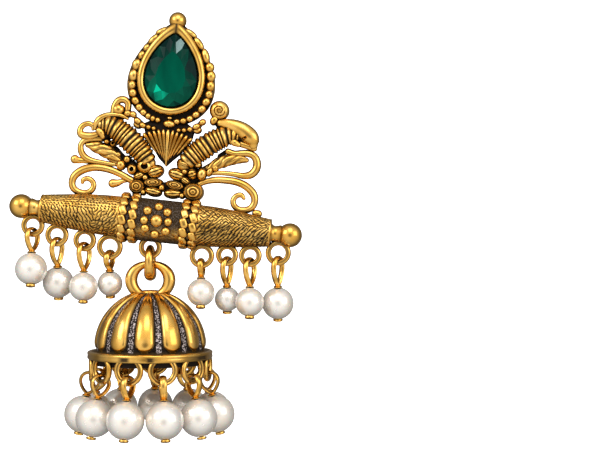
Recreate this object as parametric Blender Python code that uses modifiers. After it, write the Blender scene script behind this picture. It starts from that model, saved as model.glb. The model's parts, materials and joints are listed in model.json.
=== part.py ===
"""Jhumka earring: a pierced crest with a pear stone on a turned crossbar, pearl drops and a hanging bell.

The scene is in metres, +Z up, and the front faces -Y. The origin is the foot of the ear post, on the flat
back of the crest. The head (crest and crossbar) is worked out in its own plane, u along the crossbar and v up
from the flower in its middle, and is then tipped about the post. The bell hangs straight down on its link.
"""
import math

import bmesh
import bpy
from mathutils import Matrix, Vector

# One millimetre in metres: every size below is in millimetres, and each object is scaled by this
MM = 0.001

# Clearances
SEAT_GAP = 0.25
EYE_GAP = 0.28
STONE_GAP = 0.2
WELD = 0.0001
SOLDER = 0.25
CREASE = math.radians(40)

# Head
HEAD_TILT = math.radians(6.2)
POST_U = -0.41
POST_V = 23.61
PLATE_DEPTH = 1.5
BACK_STEP = 0.3

# Crossbar, turned
BAR_Y = -1.8
BARREL_LEFT = -19.0
BARREL_RIGHT = 18.1
BARREL_END_RADIUS = 2.2
BARREL_SHOULDER_RADIUS = 3.3
BARREL_SHOULDER = 6.3
MIDDLE_RADIUS = 3.45
ROPE_RADIUS = 3.95
ROPE_WIDTH = 1.0
ROPE_OUTER = 5.55
ROPE_INNER = 3.95
NECK_RADIUS = 1.35
NECK_LENGTH = 1.3
END_BALL_RADIUS = 1.95
END_BALL_RISE = 0.9
BAR_SEGMENTS = 16
FLOWER_RADIUS = 1.85
FLOWER_BEAD_RADIUS = 0.62
FLOWER_BEADS = 8
FLOWER_MIDDLE = 1.4

# Bezel, stone and beaded border
PEAR_POWER = 0.6
PEAR_POINTS = 22
STONE_WIDTH = 8.5
STONE_BOTTOM = 18.2
STONE_TOP = 30.0
BEZEL_WALL = 1.2
BEZEL_DEPTH = 2.9
BEZEL_TIP = 1.6
SEAT_DEPTH = 1.2
STONE_RISE = 1.1
STONE_MIDDLE = 0.42
STONE_POINTS = 14
# The stone's loops from its back to its table: share of its outline, and how many rises they stand forward
STONE_LOOPS = [(0.8, 0.0), (1.0, 0.35), (1.0, 1.2), (0.78, 1.75), (0.5, 2.05)]
BORDER_REACH = 0.95
LEDGE_EDGE = 1.7
BORDER_BEAD_RADIUS = 0.66
BORDER_BEADS = 27
BORDER_BEAD_Y = -1.6
FINIAL_V = 32.2
FINIAL_RADIUS = 1.42
FINIAL_ROOM = 1.6

# Fan between the creatures
FAN_TOP = 15.4
FAN_TIP = 8.2
FAN_HALF_WIDTH = 4.3
FAN_DEPTH = 2.3

# Creatures and scrolls, drawn on a grid in the head's plane: their tables below are in steps of the grid
GRID = 1.0
CREATURE_Y = -1.5
SCROLL_Y = -1.15
SCROLL_RADIUS = 0.45

# Central lug, link and bail: places in the earring's frame
HANG_X = -3.45
CENTRAL_LUG_HOLE = 1.0
CENTRAL_LUG_BOTTOM = -29.61
CENTRAL_LUG_WIRE = 0.9
LINK_WIRES = (1.15, 1.4, 1.95)
LINK_HOLE = 1.35
BAIL_HOLE = 2.05
BAIL_WIRES = (1.06, 2.0, 1.3)
LUG_POINTS = 12
RING_POINTS = 16
BAIL_POINTS = 18

# Bell
DOME_RADIUS = 8.45
DOME_HEIGHT = 8.7
DOME_WALL = 0.9
DOME_FOOT = 1.0
DOME_ANGLES = [math.radians(d) for d in (0, 16, 32, 48, 63, 77, 90)]
HOLLOW_ANGLES = [math.radians(d) for d in (90, 50, 0)]
CROWN = 0.3
SHELL_SLACK = 0.01
BAIL_ABOVE_DOME = 2.14
PETALS = 12
PETAL_TURN = math.radians(-0.5)
PETAL_RELIEF = 0.55
PETAL_SAMPLES = 4
RIM_RADIUS = DOME_RADIUS + 1.55
RIM_HEIGHT = 1.15
RIM_TOP = DOME_FOOT - 0.5
RIM_SLOPE = 0.1
SKIRT_RADIUS = DOME_RADIUS + 0.9
SKIRT_HEIGHT = 0.75
SKIRT_TOP = RIM_TOP - RIM_HEIGHT - RIM_SLOPE

# Drops
LUG_RADIUS = 2.0
LUG_WIRE_RADIUS = 0.4
BAR_PEARL_RADIUS = 2.3
BAR_FALL = 6.5
PIN_RADIUS = 0.27
STEM_RADIUS = 0.36
STEM_SIDES = 5
CAP_SIDES = 6
EYE_WIDTH = 3.5
EYE_POINTS = 10
CAP_RADIUS = 0.8
CAP_HEIGHT = 0.3
CAP_GAP = 0.12
STEM_CLEARANCE = 0.2
PEARL_SEGMENTS = 10
PEARL_RINGS = 5
BELL_DROPS = 11
FIRST_DROP_TURN = math.radians(17.5)
BELL_LUG_RING = DOME_RADIUS + 0.85
BELL_LUG_RADIUS = 2.4
BELL_LUG_SINK = 2.0
BELL_LUG_WIRE_RADIUS = 0.46
BELL_PEARL_RADIUS = 2.95
BELL_FALL = 7.65
BELL_DROP_TURN = math.radians(82.0)
BELL_DROP_SPLAY = math.radians(12.0)

# Ear post
POST_RADIUS = 0.45
POST_LENGTH = 10.5
POST_FOOT_RADIUS = 1.5
POST_FOOT_HEIGHT = 0.4

# Colours
GOLD = (0.62, 0.40, 0.12)
PEARL = (0.87, 0.84, 0.78)
GREEN = (0.0, 0.16, 0.09)
STEEL = (0.62, 0.60, 0.55)


def collection(name):
    """Makes a collection in the scene and returns it."""
    new = bpy.data.collections.new(name)
    bpy.context.scene.collection.children.link(new)
    return new


def clear_scene():
    """Removes every object of the scene."""
    for old in list(bpy.data.objects):
        bpy.data.objects.remove(old)


def material(name, colour, metallic, roughness):
    """Makes a Principled material of one colour."""
    new = bpy.data.materials.new(name)
    new.use_nodes = True
    shader = new.node_tree.nodes["Principled BSDF"]
    shader.inputs["Base Color"].default_value = (*colour, 1.0)
    shader.inputs["Metallic"].default_value = metallic
    shader.inputs["Roughness"].default_value = roughness
    return new


def evaluated_mesh(item):
    """Returns the object's evaluated mesh as a new mesh in its own space, its seams welded."""
    bpy.context.view_layer.update()
    evaluated = item.evaluated_get(bpy.context.evaluated_depsgraph_get())
    mesh = bpy.data.meshes.new_from_object(evaluated)
    work = bmesh.new()
    work.from_mesh(mesh)
    bmesh.ops.remove_doubles(work, verts=work.verts, dist=WELD)
    bmesh.ops.recalc_face_normals(work, faces=work.faces)
    work.to_mesh(mesh)
    work.free()
    return mesh


def settled(item, place=Matrix.Identity(4)):
    """Turns an object into its evaluated mesh, moved by a matrix, and removes the object."""
    bpy.context.view_layer.update()
    matrix = place @ item.matrix_world
    mesh = evaluated_mesh(item)
    mesh.transform(matrix)
    bpy.data.objects.remove(item)
    return mesh


def object_of(name, mesh, group):
    """Links a mesh into a collection as an object."""
    item = bpy.data.objects.new(name, mesh)
    group.objects.link(item)
    return item


def placed(name, mesh, group):
    """Links a mesh in millimetres into a collection, at its size in metres."""
    item = object_of(name, mesh, group)
    item.scale = (MM, MM, MM)
    return item


def from_bmesh(work):
    """Returns the mesh of a bmesh and frees it."""
    mesh = bpy.data.meshes.new("shape")
    work.to_mesh(mesh)
    work.free()
    return mesh


# Turns a bead's facets out of line with its neighbours'
BEAD_TURN = Matrix.Rotation(math.radians(11.0), 4, (1.0, 0.6, 0.8))


def ball(centre, radius, segments=6, rings=4):
    """A round bead about a centre, its poles along Y."""
    work = bmesh.new()
    turn = Matrix.Translation(centre) @ Matrix.Rotation(math.pi / 2, 4, "X") @ BEAD_TURN
    bmesh.ops.create_uvsphere(work, u_segments=segments, v_segments=rings, radius=radius, matrix=turn)
    return from_bmesh(work)


def rod(start, end, radius, segments):
    """A round rod between two points."""
    start, end = Vector(start), Vector(end)
    along = end - start
    turn = along.to_track_quat("Z", "Y").to_matrix().to_4x4()
    work = bmesh.new()
    bmesh.ops.create_cone(
        work,
        cap_ends=True,
        segments=segments,
        radius1=radius,
        radius2=radius,
        depth=along.length,
        matrix=Matrix.Translation((start + end) / 2) @ turn,
    )
    return from_bmesh(work)


def wire(points, radii, closed=False, resolution=1, place=Matrix.Identity(4)):
    """A round wire through points, each with its own radius."""
    curve = bpy.data.curves.new("wire", "CURVE")
    curve.dimensions = "3D"
    curve.bevel_depth = 1.0
    curve.bevel_resolution = resolution
    curve.use_fill_caps = True
    spline = curve.splines.new("POLY")
    spline.points.add(len(points) - 1)
    for node, point, radius in zip(spline.points, points, radii):
        node.co = (*point, 1.0)
        node.radius = radius
    spline.use_cyclic_u = closed
    item = object_of("wire", curve, bpy.context.scene.collection)
    return settled(item, place)


def plate(outline, depth, front):
    """A flat plate in the head's plane: an outline of (u, v) points, its front face at Y = front."""
    curve = bpy.data.curves.new("plate", "CURVE")
    curve.dimensions = "2D"
    curve.fill_mode = "BOTH"
    curve.extrude = depth / 2
    spline = curve.splines.new("POLY")
    spline.points.add(len(outline) - 1)
    for node, (u, v) in zip(spline.points, outline):
        node.co = (u, v, 0.0, 1.0)
    spline.use_cyclic_u = True
    item = object_of("plate", curve, bpy.context.scene.collection)
    stand = Matrix.Translation((0.0, front + depth / 2, 0.0)) @ Matrix.Rotation(math.pi / 2, 4, "X")
    return settled(item, stand)


def turned(profile, steps, place=Matrix.Identity(4)):
    """A turned solid about Z from a profile of (radius, height) rows that runs from its top to its bottom."""
    work = bmesh.new()
    corners = [work.verts.new((radius, 0.0, height)) for radius, height in profile]
    for first, second in zip(corners, corners[1:]):
        work.edges.new((first, second))
    item = object_of("turned", from_bmesh(work), bpy.context.scene.collection)
    screw = item.modifiers.new("Screw", "SCREW")
    screw.steps = steps
    screw.render_steps = steps
    screw.use_merge_vertices = True
    screw.merge_threshold = WELD
    return settled(item, place)


def arc(centre, radius, start, end, count):
    """Points (across, up) on an arc about a centre, its angles in degrees from the first axis."""
    angles = [math.radians(start + (end - start) * i / (count - 1)) for i in range(count)]
    return [(centre[0] + radius * math.cos(a), centre[1] + radius * math.sin(a)) for a in angles]


def pear_reach(turn):
    """How far across a pear's outline is at a turn from its tip, for a width that pear_outline evens out."""
    return math.sin(turn) * math.sin(turn / 2) ** PEAR_POWER


def pear_outline(width, bottom, top, count=PEAR_POINTS, middle=0.0):
    """Points of a pear outline that runs from its tip at the top round to the left."""
    widest = pear_reach(math.acos(-PEAR_POWER / (2 + PEAR_POWER)))
    half_height = (top - bottom) / 2
    points = []
    for i in range(count):
        t = 2 * math.pi * i / count
        across = -width / 2 * pear_reach(t) / widest
        points.append((middle + across, bottom + half_height * (1 + math.cos(t))))
    return points


def evenly(points, count):
    """Points at equal steps along a closed line."""
    closed = points + points[:1]
    steps = [math.dist(a, b) for a, b in zip(closed, closed[1:])]
    spacing = sum(steps) / count
    found = []
    travelled = 0.0
    for (start, end), step in zip(zip(closed, closed[1:]), steps):
        while len(found) < count and len(found) * spacing <= travelled + step:
            share = (len(found) * spacing - travelled) / step
            found.append(tuple(a + (b - a) * share for a, b in zip(start, end)))
        travelled += step
    return found


def tapered_ring(hole, wires, count=RING_POINTS, resolution=1, place=Matrix.Identity(4)):
    """A ring in the XZ plane about its hole's middle, its wire thick as given at top, sides and bottom."""
    top, side, bottom = wires
    points = []
    radii = []
    for i in range(count):
        turn = 2 * math.pi * (i + 0.5) / count
        end = top if math.cos(turn) > 0 else bottom
        thickness = side + (end - side) * math.cos(turn) ** 2
        reach = hole + thickness / 2
        points.append((reach * math.sin(turn), 0.0, reach * math.cos(turn)))
        radii.append(thickness / 2)
    return wire(points, radii, closed=True, resolution=resolution, place=place)


def lug_ring(centre, radius, wire_radius, count=10, turn=0.0):
    """A round lug that faces the front, or is turned about Z."""
    place = Matrix.Translation(centre) @ Matrix.Rotation(turn, 4, "Z")
    return tapered_ring(radius - 2 * wire_radius, (2 * wire_radius,) * 3, count, 1, place)


def fused(name, base, additions, cuts, groups, look):
    """One solid: a base mesh with others fused to it and others cut from it."""
    parts, cutters = groups
    item = placed(name, base, parts)
    for operation, meshes in (("UNION", additions), ("DIFFERENCE", cuts)):
        for number, mesh in enumerate(meshes, 1):
            tool = placed(f"{name}_{operation.lower()}_{number:02d}", mesh, cutters)
            tool.hide_render = True
            tool.display_type = "WIRE"
            step = item.modifiers.new(tool.name, "BOOLEAN")
            step.operation = operation
            step.solver = "EXACT"
            step.object = tool
    finish(item, look)
    return item


def finish(item, look):
    """Gives an object its material and smooth shading with sharp edges."""
    item.data.materials.clear()
    item.data.materials.append(look)
    item.data.shade_smooth()
    item.data.set_sharp_from_angle(angle=CREASE)


def head_matrix():
    """Carries a point of the head's plane to the earring's frame, with the post's foot at the origin."""
    return Matrix.Rotation(HEAD_TILT, 4, "Y") @ Matrix.Translation((-POST_U, 0.0, -POST_V))


def bar_radius_at(u):
    """The barrel's radius at a place along the crossbar, its ends' necks included."""
    end = BARREL_LEFT if u < 0 else BARREL_RIGHT
    if abs(u) > abs(end):
        return NECK_RADIUS
    share = (abs(end) - abs(u)) / (abs(end) - BARREL_SHOULDER)
    return BARREL_END_RADIUS + (BARREL_SHOULDER_RADIUS - BARREL_END_RADIUS) * min(share, 1.0)


def bar_side(end):
    """Profile rows (radius, distance from the middle) of half the crossbar, from its end to the middle."""
    ball_middle = end + NECK_LENGTH + END_BALL_RISE * END_BALL_RADIUS
    rows = [(radius, along) for along, radius in arc((ball_middle, 0.0), END_BALL_RADIUS, 0, 140, 5)]
    rows += [(NECK_RADIUS, end + NECK_LENGTH), (NECK_RADIUS, end), (BARREL_END_RADIUS, end - SOLDER)]
    rows += [(BARREL_SHOULDER_RADIUS, BARREL_SHOULDER)]
    for rope in (ROPE_OUTER, ROPE_INNER):
        half = ROPE_WIDTH / 2
        rows += [(ROPE_RADIUS, rope + half / 2), (ROPE_RADIUS, rope - half / 2), (MIDDLE_RADIUS, rope - half)]
        rows += [(MIDDLE_RADIUS, rope - half - SOLDER)] if rope is ROPE_OUTER else []
    return rows


def crossbar():
    """The turned crossbar, with its axis along u."""
    right = bar_side(BARREL_RIGHT)
    left = bar_side(-BARREL_LEFT)
    profile = right + [(radius, -along) for radius, along in reversed(left)]
    lay = Matrix.Translation((0.0, BAR_Y, 0.0)) @ Matrix.Rotation(math.pi / 2, 4, "Y")
    return turned(profile, BAR_SEGMENTS, lay)


def flower():
    """The beads on the front of the crossbar's middle."""
    face = BAR_Y - MIDDLE_RADIUS
    beads = [ball((0.0, face, 0.0), FLOWER_MIDDLE * FLOWER_BEAD_RADIUS)]
    for i in range(FLOWER_BEADS):
        turn = 2 * math.pi * i / FLOWER_BEADS
        across = FLOWER_RADIUS * math.sin(turn)
        up = FLOWER_RADIUS * math.cos(turn)
        surface = BAR_Y - math.sqrt(MIDDLE_RADIUS**2 - up**2)
        beads.append(ball((across, surface, up), FLOWER_BEAD_RADIUS))
    return beads


def border():
    """The beads round the bezel, on a ledge a bead's width outside it."""
    reach = BEZEL_WALL + BORDER_REACH
    track = pear_outline(STONE_WIDTH + 2 * reach, STONE_BOTTOM - reach, FINIAL_V, 4 * PEAR_POINTS, POST_U)
    beads = evenly(track, BORDER_BEADS)
    tip = FINIAL_V - FINIAL_ROOM * FINIAL_RADIUS
    return [ball((u, BORDER_BEAD_Y, v), BORDER_BEAD_RADIUS) for u, v in beads if v < tip]


def bezel_plate(reach, tip, depth, back=0.0):
    """A solid pear from a back plane to its front, wider than the stone by a reach, its tip at a height."""
    outline = pear_outline(STONE_WIDTH + 2 * reach, STONE_BOTTOM - reach, tip, middle=POST_U)
    return plate(outline, depth + back, -depth)


def fan():
    """The shell fan under the bezel: a tapering tongue with a domed front."""
    tongue = arc((0.0, FAN_TOP), FAN_HALF_WIDTH, 0, 180, 7)
    return plate(tongue + [(0.0, FAN_TIP)], FAN_DEPTH - BACK_STEP, -FAN_DEPTH)


# Tubes of the crest's open work: u, v and radius at each place. The right side's are its own, not a mirror
CREATURE_TUBES = {
    "left_body": [(-10.4, 14.3, 1.5), (-8.6, 14.1, 1.95), (-6.6, 12.9, 2.0), (-4.7, 11.4, 1.95),
                  (-3.2, 9.9, 1.6), (-2.2, 8.6, 1.3)],
    "right_body": [(11.0, 14.6, 1.4), (9.2, 14.6, 1.8), (7.2, 13.5, 1.95), (5.4, 12.0, 2.0), (3.9, 10.3, 1.8),
                   (2.8, 8.7, 1.4)],
}
SCROLL_TUBES = {
    "left_lower": [(-4.2, 5.6), (-5.5, 6.2), (-7.0, 6.8), (-8.5, 7.3), (-10.0, 7.55), (-11.5, 7.4),
                   (-13.0, 6.8), (-14.2, 5.8), (-14.6, 4.7), (-14.3, 3.6), (-13.2, 3.1), (-12.0, 3.1),
                   (-11.1, 3.7), (-10.9, 4.6), (-11.3, 5.3), (-12.1, 5.6)],
    "left_jaw": [(-9.8, 14.6), (-11.2, 13.7), (-12.6, 13.2), (-13.6, 12.4), (-14.0, 13.4), (-13.1, 14.2),
                 (-12.0, 14.3)],
    "left_c": [(-6.6, 8.0), (-8.0, 8.2), (-10.0, 8.3), (-11.5, 8.5), (-12.8, 8.9), (-13.5, 9.8),
               (-13.5, 10.8), (-12.5, 11.6), (-11.2, 12.3), (-9.8, 13.2)],
    "left_wing": [(-13.3, 10.4), (-11.6, 10.7), (-9.8, 10.7), (-8.4, 10.0), (-7.2, 8.9), (-5.8, 8.4)],
    "left_snail": [(-9.3, 15.6), (-8.9, 17.0), (-8.2, 18.5), (-7.0, 18.6), (-6.4, 17.4), (-6.2, 16.4)],
    "right_lower": [(4.6, 5.8), (6.8, 7.1), (8.0, 7.4), (10.0, 7.6), (12.0, 7.6), (13.5, 7.0), (14.7, 5.8),
                    (15.0, 4.8), (14.7, 3.6), (13.8, 3.1), (12.6, 3.1), (11.7, 3.6), (11.4, 4.5), (11.9, 5.3),
                    (12.7, 5.6)],
    "right_head": [(10.6, 13.2), (12.4, 13.1), (14.0, 12.9), (14.6, 14.0), (13.6, 15.4), (11.9, 16.2),
                   (10.2, 16.4)],
    "right_c": [(5.6, 7.8), (7.0, 8.0), (9.0, 8.2), (11.0, 8.5), (13.2, 8.3), (14.4, 9.2), (14.8, 10.5),
                (14.2, 11.7), (13.0, 12.6)],
    "right_wing": [(14.2, 10.6), (12.0, 10.9), (10.0, 10.9), (8.6, 10.2), (7.4, 9.2), (6.2, 8.4)],
}
SCROLL_WIDE = {"left_jaw": 1.35, "left_c": 1.25, "left_wing": 1.2, "left_snail": 1.4, "right_head": 1.6,
               "right_c": 1.25, "right_wing": 1.2}
CREST_BALLS = {
    "left_curl": (-8.4, 17.2, 0.9), "left_nose": (-14.5, 8.4, 0.65), "left_bud": (-8.0, 5.5, 0.75),
    "left_knee": (-5.2, 7.8, 1.15), "left_ring": (-3.2, 7.9, 1.3), "left_lobe": (-1.3, 6.6, 1.35),
    "left_foot": (-4.1, 5.0, 1.45), "left_toe": (-1.5, 4.4, 1.35), "right_curl": (7.9, 18.3, 1.5),
    "right_tail": (15.2, 3.1, 0.75), "right_ring": (3.2, 7.6, 1.5), "right_lobe": (1.6, 6.2, 1.35),
    "right_foot": (4.9, 5.2, 1.6), "right_toe": (2.0, 4.4, 1.4), "right_knee": (6.2, 8.2, 1.2),
    "right_neck": (8.4, 16.6, 1.0), "right_shoulder": (4.4, 15.0, 1.4), "left_shoulder": (-5.0, 14.9, 1.4),
    "left_temple": (-6.2, 15.9, 0.8), "left_stem": (-13.9, 9.2, 0.5), "left_drop_stem": (-7.8, 6.3, 0.6),
}


def crest_tubes():
    """The creatures' bodies, and the scrolls and curls about them."""
    meshes = []
    for rows in CREATURE_TUBES.values():
        points = [(u * GRID, CREATURE_Y, v * GRID) for u, v, _ in rows]
        meshes.append(wire(points, [radius * GRID for _, _, radius in rows], resolution=2))
    for name, rows in SCROLL_TUBES.items():
        points = [(u * GRID, SCROLL_Y, v * GRID) for u, v in rows]
        meshes.append(wire(points, [SCROLL_RADIUS * SCROLL_WIDE.get(name, 1.0)] * len(rows)))
    for u, v, radius in CREST_BALLS.values():
        meshes.append(ball((u * GRID, SCROLL_Y, v * GRID), radius * GRID))
    return meshes


# Drops under the crossbar. Place along it as a share of that side's barrel; lug, pearl and fall as shares of
# their named sizes; the eye's turn and the lean to the front in degrees
BAR_DROPS = [
    {"place": -1.047, "lug": 0.95, "pearl": 1.11, "fall": 1.09, "turn": 66, "lean": 12},
    {"place": -0.837, "lug": 0.95, "pearl": 1.09, "fall": 1.2, "turn": 66, "lean": -12},
    {"place": -0.6, "lug": 0.925, "pearl": 1.0, "fall": 1.155, "turn": 64, "lean": 9},
    {"place": -0.384, "lug": 1.05, "pearl": 0.87, "fall": 0.93, "turn": 75, "lean": -11},
    {"place": 0.414, "lug": 1.0, "pearl": 0.96, "fall": 0.92, "turn": 85, "lean": 14},
    {"place": 0.635, "lug": 0.9, "pearl": 0.87, "fall": 1.115, "turn": 66, "lean": -11},
    {"place": 0.84, "lug": 0.925, "pearl": 1.0, "fall": 1.16, "turn": 64, "lean": 12},
    {"place": 1.083, "lug": 1.025, "pearl": 1.11, "fall": 1.26, "turn": 64, "lean": -8},
]


def bar_lug_centre(row):
    """The middle of a lug under the crossbar, in the head's plane."""
    u = row["place"] * (BARREL_RIGHT if row["place"] > 0 else -BARREL_LEFT)
    return Vector((u, BAR_Y, -bar_radius_at(u) - row["lug"] * LUG_RADIUS + LUG_WIRE_RADIUS))


def central_lug_centre():
    """The middle of the central lug's hole, in the earring's frame."""
    return Vector((HANG_X, BAR_Y, CENTRAL_LUG_BOTTOM + CENTRAL_LUG_WIRE + CENTRAL_LUG_HOLE))


def crest_and_bar(groups, look):
    """The cast head: crest, crossbar and the lugs under it, soldered into one solid."""
    bezel = bezel_plate(BEZEL_WALL, STONE_TOP + BEZEL_TIP * BEZEL_WALL, BEZEL_DEPTH, -BACK_STEP)
    ledge = bezel_plate(BEZEL_WALL + LEDGE_EDGE * BORDER_REACH, FINIAL_V, PLATE_DEPTH)
    additions = [bezel, ledge, fan(), ball((POST_U, -FINIAL_RADIUS, FINIAL_V), FINIAL_RADIUS, 10, 7)]
    additions += border() + flower() + crest_tubes()
    for row in BAR_DROPS:
        additions.append(lug_ring(bar_lug_centre(row), row["lug"] * LUG_RADIUS, LUG_WIRE_RADIUS))
    upright = head_matrix().inverted()
    central = upright @ Matrix.Translation(central_lug_centre())
    additions.append(tapered_ring(CENTRAL_LUG_HOLE, (CENTRAL_LUG_WIRE,) * 3, LUG_POINTS, 1, central))
    pocket = bezel_plate(0.0, STONE_TOP, BEZEL_DEPTH)
    pocket.transform(Matrix.Translation((0.0, -SEAT_DEPTH, 0.0)))
    base = crossbar()
    for mesh in [base, pocket] + additions:
        mesh.transform(head_matrix())
    return fused("crest_and_bar", base, additions, [pocket], groups, look)


def pear_stone(groups, look):
    """The pear stone: a girdle in the bezel, a crown of facets up to the table, and a flat back."""
    back = -SEAT_DEPTH - SEAT_GAP
    width = STONE_WIDTH - 2 * STONE_GAP
    outline = pear_outline(width, STONE_BOTTOM + STONE_GAP, STONE_TOP - STONE_GAP, STONE_POINTS)
    middle_v = STONE_BOTTOM + STONE_MIDDLE * (STONE_TOP - STONE_BOTTOM)
    work = bmesh.new()
    loops = []
    for share, rises in STONE_LOOPS:
        y = back - rises * STONE_RISE
        spots = [(POST_U + u * share, y, middle_v + (v - middle_v) * share) for u, v in outline]
        loops.append([work.verts.new(spot) for spot in spots])
    for lower, upper in zip(loops, loops[1:]):
        for i, corner in enumerate(lower):
            j = (i + 1) % len(lower)
            work.faces.new((corner, lower[j], upper[j], upper[i]))
    work.faces.new(loops[-1])
    work.faces.new(list(reversed(loops[0])))
    bmesh.ops.recalc_face_normals(work, faces=work.faces)
    mesh = from_bmesh(work)
    mesh.transform(head_matrix())
    item = placed("pear_stone", mesh, groups[0])
    item.data.materials.append(look)
    return item


def ear_post(groups, look):
    """The plain post behind the crest, with a small foot that is soldered to the back plane."""
    foot = rod((0.0, SEAT_GAP, 0.0), (0.0, SEAT_GAP + POST_FOOT_HEIGHT, 0.0), POST_FOOT_RADIUS, 12)
    tip = SEAT_GAP + POST_LENGTH
    shank = rod((0.0, SEAT_GAP + POST_FOOT_HEIGHT / 2, 0.0), (0.0, tip, 0.0), POST_RADIUS, 10)
    return fused("ear_post", foot, [shank], [], groups, look)


def link_hole_centre():
    """The middle of the link's hole: its top hangs a seat's gap above the central lug's wire."""
    lug_wire_top = CENTRAL_LUG_BOTTOM + CENTRAL_LUG_WIRE
    return Vector((HANG_X, BAR_Y, lug_wire_top + SEAT_GAP - LINK_HOLE))


def bail_hole_centre():
    """The middle of the bail's hole: its top wire hangs a seat's gap above the bottom of the link's hole."""
    link_bottom = link_hole_centre().z - LINK_HOLE
    return Vector((HANG_X, BAR_Y, link_bottom + SEAT_GAP - BAIL_HOLE))


def hanging_link(groups, look):
    """The heavy ring between the central lug and the bail, seen edge-on from the front."""
    turn = Matrix.Rotation(math.pi / 2, 4, "Z")
    place = Matrix.Translation(link_hole_centre()) @ turn
    mesh = tapered_ring(LINK_HOLE, LINK_WIRES, RING_POINTS, 1, place)
    item = placed("hanging_link", mesh, groups[0])
    finish(item, look)
    return item


def bell_level():
    """The height of the bell's rim line, in the earring's frame."""
    return bail_hole_centre().z - BAIL_ABOVE_DOME - DOME_HEIGHT - DOME_FOOT


def petal_share(turn):
    """How far a place round the bell stands out between a groove (0) and a petal's middle (1)."""
    phase = (turn - PETAL_TURN) * PETALS / 2
    return math.sqrt(abs(math.cos(phase)))


def dome():
    """The bell's hollow wall: an elliptic dome over a flanged rim, its outside raised into petals."""
    outer = [
        (DOME_RADIUS * math.sin(a), DOME_FOOT + DOME_HEIGHT * math.cos(a))
        for a in DOME_ANGLES
    ]
    rim = [
        (DOME_RADIUS, RIM_TOP + RIM_SLOPE),
        (RIM_RADIUS, RIM_TOP),
        (RIM_RADIUS, RIM_TOP - RIM_HEIGHT),
        (SKIRT_RADIUS, SKIRT_TOP),
        (SKIRT_RADIUS, SKIRT_TOP - SKIRT_HEIGHT),
    ]
    foot = rim[-1][1]
    inner_radius = DOME_RADIUS - DOME_WALL
    inner = [(inner_radius, foot)]
    inner += [
        (inner_radius * math.sin(a), DOME_FOOT + (DOME_HEIGHT - DOME_WALL) * math.cos(a))
        for a in HOLLOW_ANGLES
    ]
    mesh = turned(outer + rim + inner, PETALS * PETAL_SAMPLES)
    for corner in mesh.vertices:
        radius = math.hypot(corner.co.x, corner.co.y)
        height = corner.co.z - DOME_FOOT
        outside = math.hypot(radius / DOME_RADIUS, height / DOME_HEIGHT)
        if abs(outside - 1.0) > SHELL_SLACK or height < -WELD or radius < WELD:
            continue
        turn = math.atan2(corner.co.x, -corner.co.y)
        rise = PETAL_RELIEF * petal_share(turn) * min(1.0, radius / (CROWN * DOME_RADIUS))
        out = Vector((corner.co.x, corner.co.y, height)).normalized()
        corner.co += out * rise
    return mesh


def bell_lug_places():
    """Each bell lug's turn about the bell's axis and the middle of its hole, in the bell's frame."""
    lug_height = SKIRT_TOP - SKIRT_HEIGHT - BELL_LUG_RADIUS + BELL_LUG_SINK
    places = []
    for i in range(BELL_DROPS):
        turn = FIRST_DROP_TURN + 2 * math.pi * i / BELL_DROPS
        across, front = BELL_LUG_RING * math.sin(turn), -BELL_LUG_RING * math.cos(turn)
        places.append((turn, Vector((across, front, lug_height))))
    return places


def bell(groups, look):
    """The bell: dome, bail and lugs, soldered into one solid."""
    level = bell_level()
    base = dome()
    place = Matrix.Translation((HANG_X, BAR_Y, level))
    spot = Matrix.Translation((0.0, 0.0, bail_hole_centre().z - level))
    bail = tapered_ring(BAIL_HOLE, BAIL_WIRES, BAIL_POINTS, 2, spot)
    additions = [bail]
    for turn, centre in bell_lug_places():
        additions.append(lug_ring(centre, BELL_LUG_RADIUS, BELL_LUG_WIRE_RADIUS, turn=turn))
    for mesh in [base] + additions:
        mesh.transform(place)
    return fused("bell", base, additions, [], groups, look)


def eye_pin_mesh(pearl_radius, fall):
    """A head pin about its eye's top: the eye faces the front, the stem runs down the bore to its cap."""
    pearl_top = pearl_radius - fall
    pearl_foot = -pearl_radius - fall
    eye_bottom = pearl_top + CAP_GAP + CAP_HEIGHT
    eye = pear_outline(EYE_WIDTH - 2 * PIN_RADIUS, eye_bottom, 0.0, EYE_POINTS)
    points = [(u, 0.0, eye_bottom - v) for u, v in eye]
    loop = wire(points, [PIN_RADIUS] * len(points), closed=True)
    foot_top = pearl_foot - CAP_GAP
    foot_cap = rod((0.0, 0.0, foot_top), (0.0, 0.0, foot_top - CAP_HEIGHT), CAP_RADIUS, CAP_SIDES)
    stem_top = eye_bottom + PIN_RADIUS / 3
    stem = rod((0.0, 0.0, stem_top), (0.0, 0.0, foot_top - CAP_HEIGHT / 2), STEM_RADIUS, STEM_SIDES)
    return loop, [stem, foot_cap]


def pearl_mesh(radius, fall):
    """A drilled pearl about its drop's hook point."""
    bore = STEM_RADIUS + STEM_CLEARANCE
    pole = math.degrees(math.asin(bore / radius))
    outside = arc((0.0, -fall), radius, 90 - pole, pole - 90, PEARL_RINGS + 1)
    return turned(outside + outside[:1], PEARL_SEGMENTS)


def drop(names, hook, pearl_radius, fall, turn, lean, heading, groups, looks):
    """A pearl and its pin, hung at a hook point: leant to its front, and turned with its lug."""
    pearl_name, pin_name = names
    stance = Matrix.Translation(hook) @ Matrix.Rotation(heading, 4, "Z") @ Matrix.Rotation(-lean, 4, "X")
    loop, additions = eye_pin_mesh(pearl_radius, fall)
    facing = stance @ Matrix.Rotation(turn, 4, "Z")
    for mesh in [loop] + additions:
        mesh.transform(facing)
    fused(pin_name, loop, additions, [], groups, looks[0])
    pearl = pearl_mesh(pearl_radius, fall)
    pearl.transform(facing)
    item = placed(pearl_name, pearl, groups[0])
    finish(item, looks[1])


def hook_below_lug(lug_radius, wire_radius):
    """How far an eye's top wire lies below its lug's middle: a small gap above the lug's bottom wire."""
    return lug_radius - 2 * wire_radius - PIN_RADIUS - EYE_GAP


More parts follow.
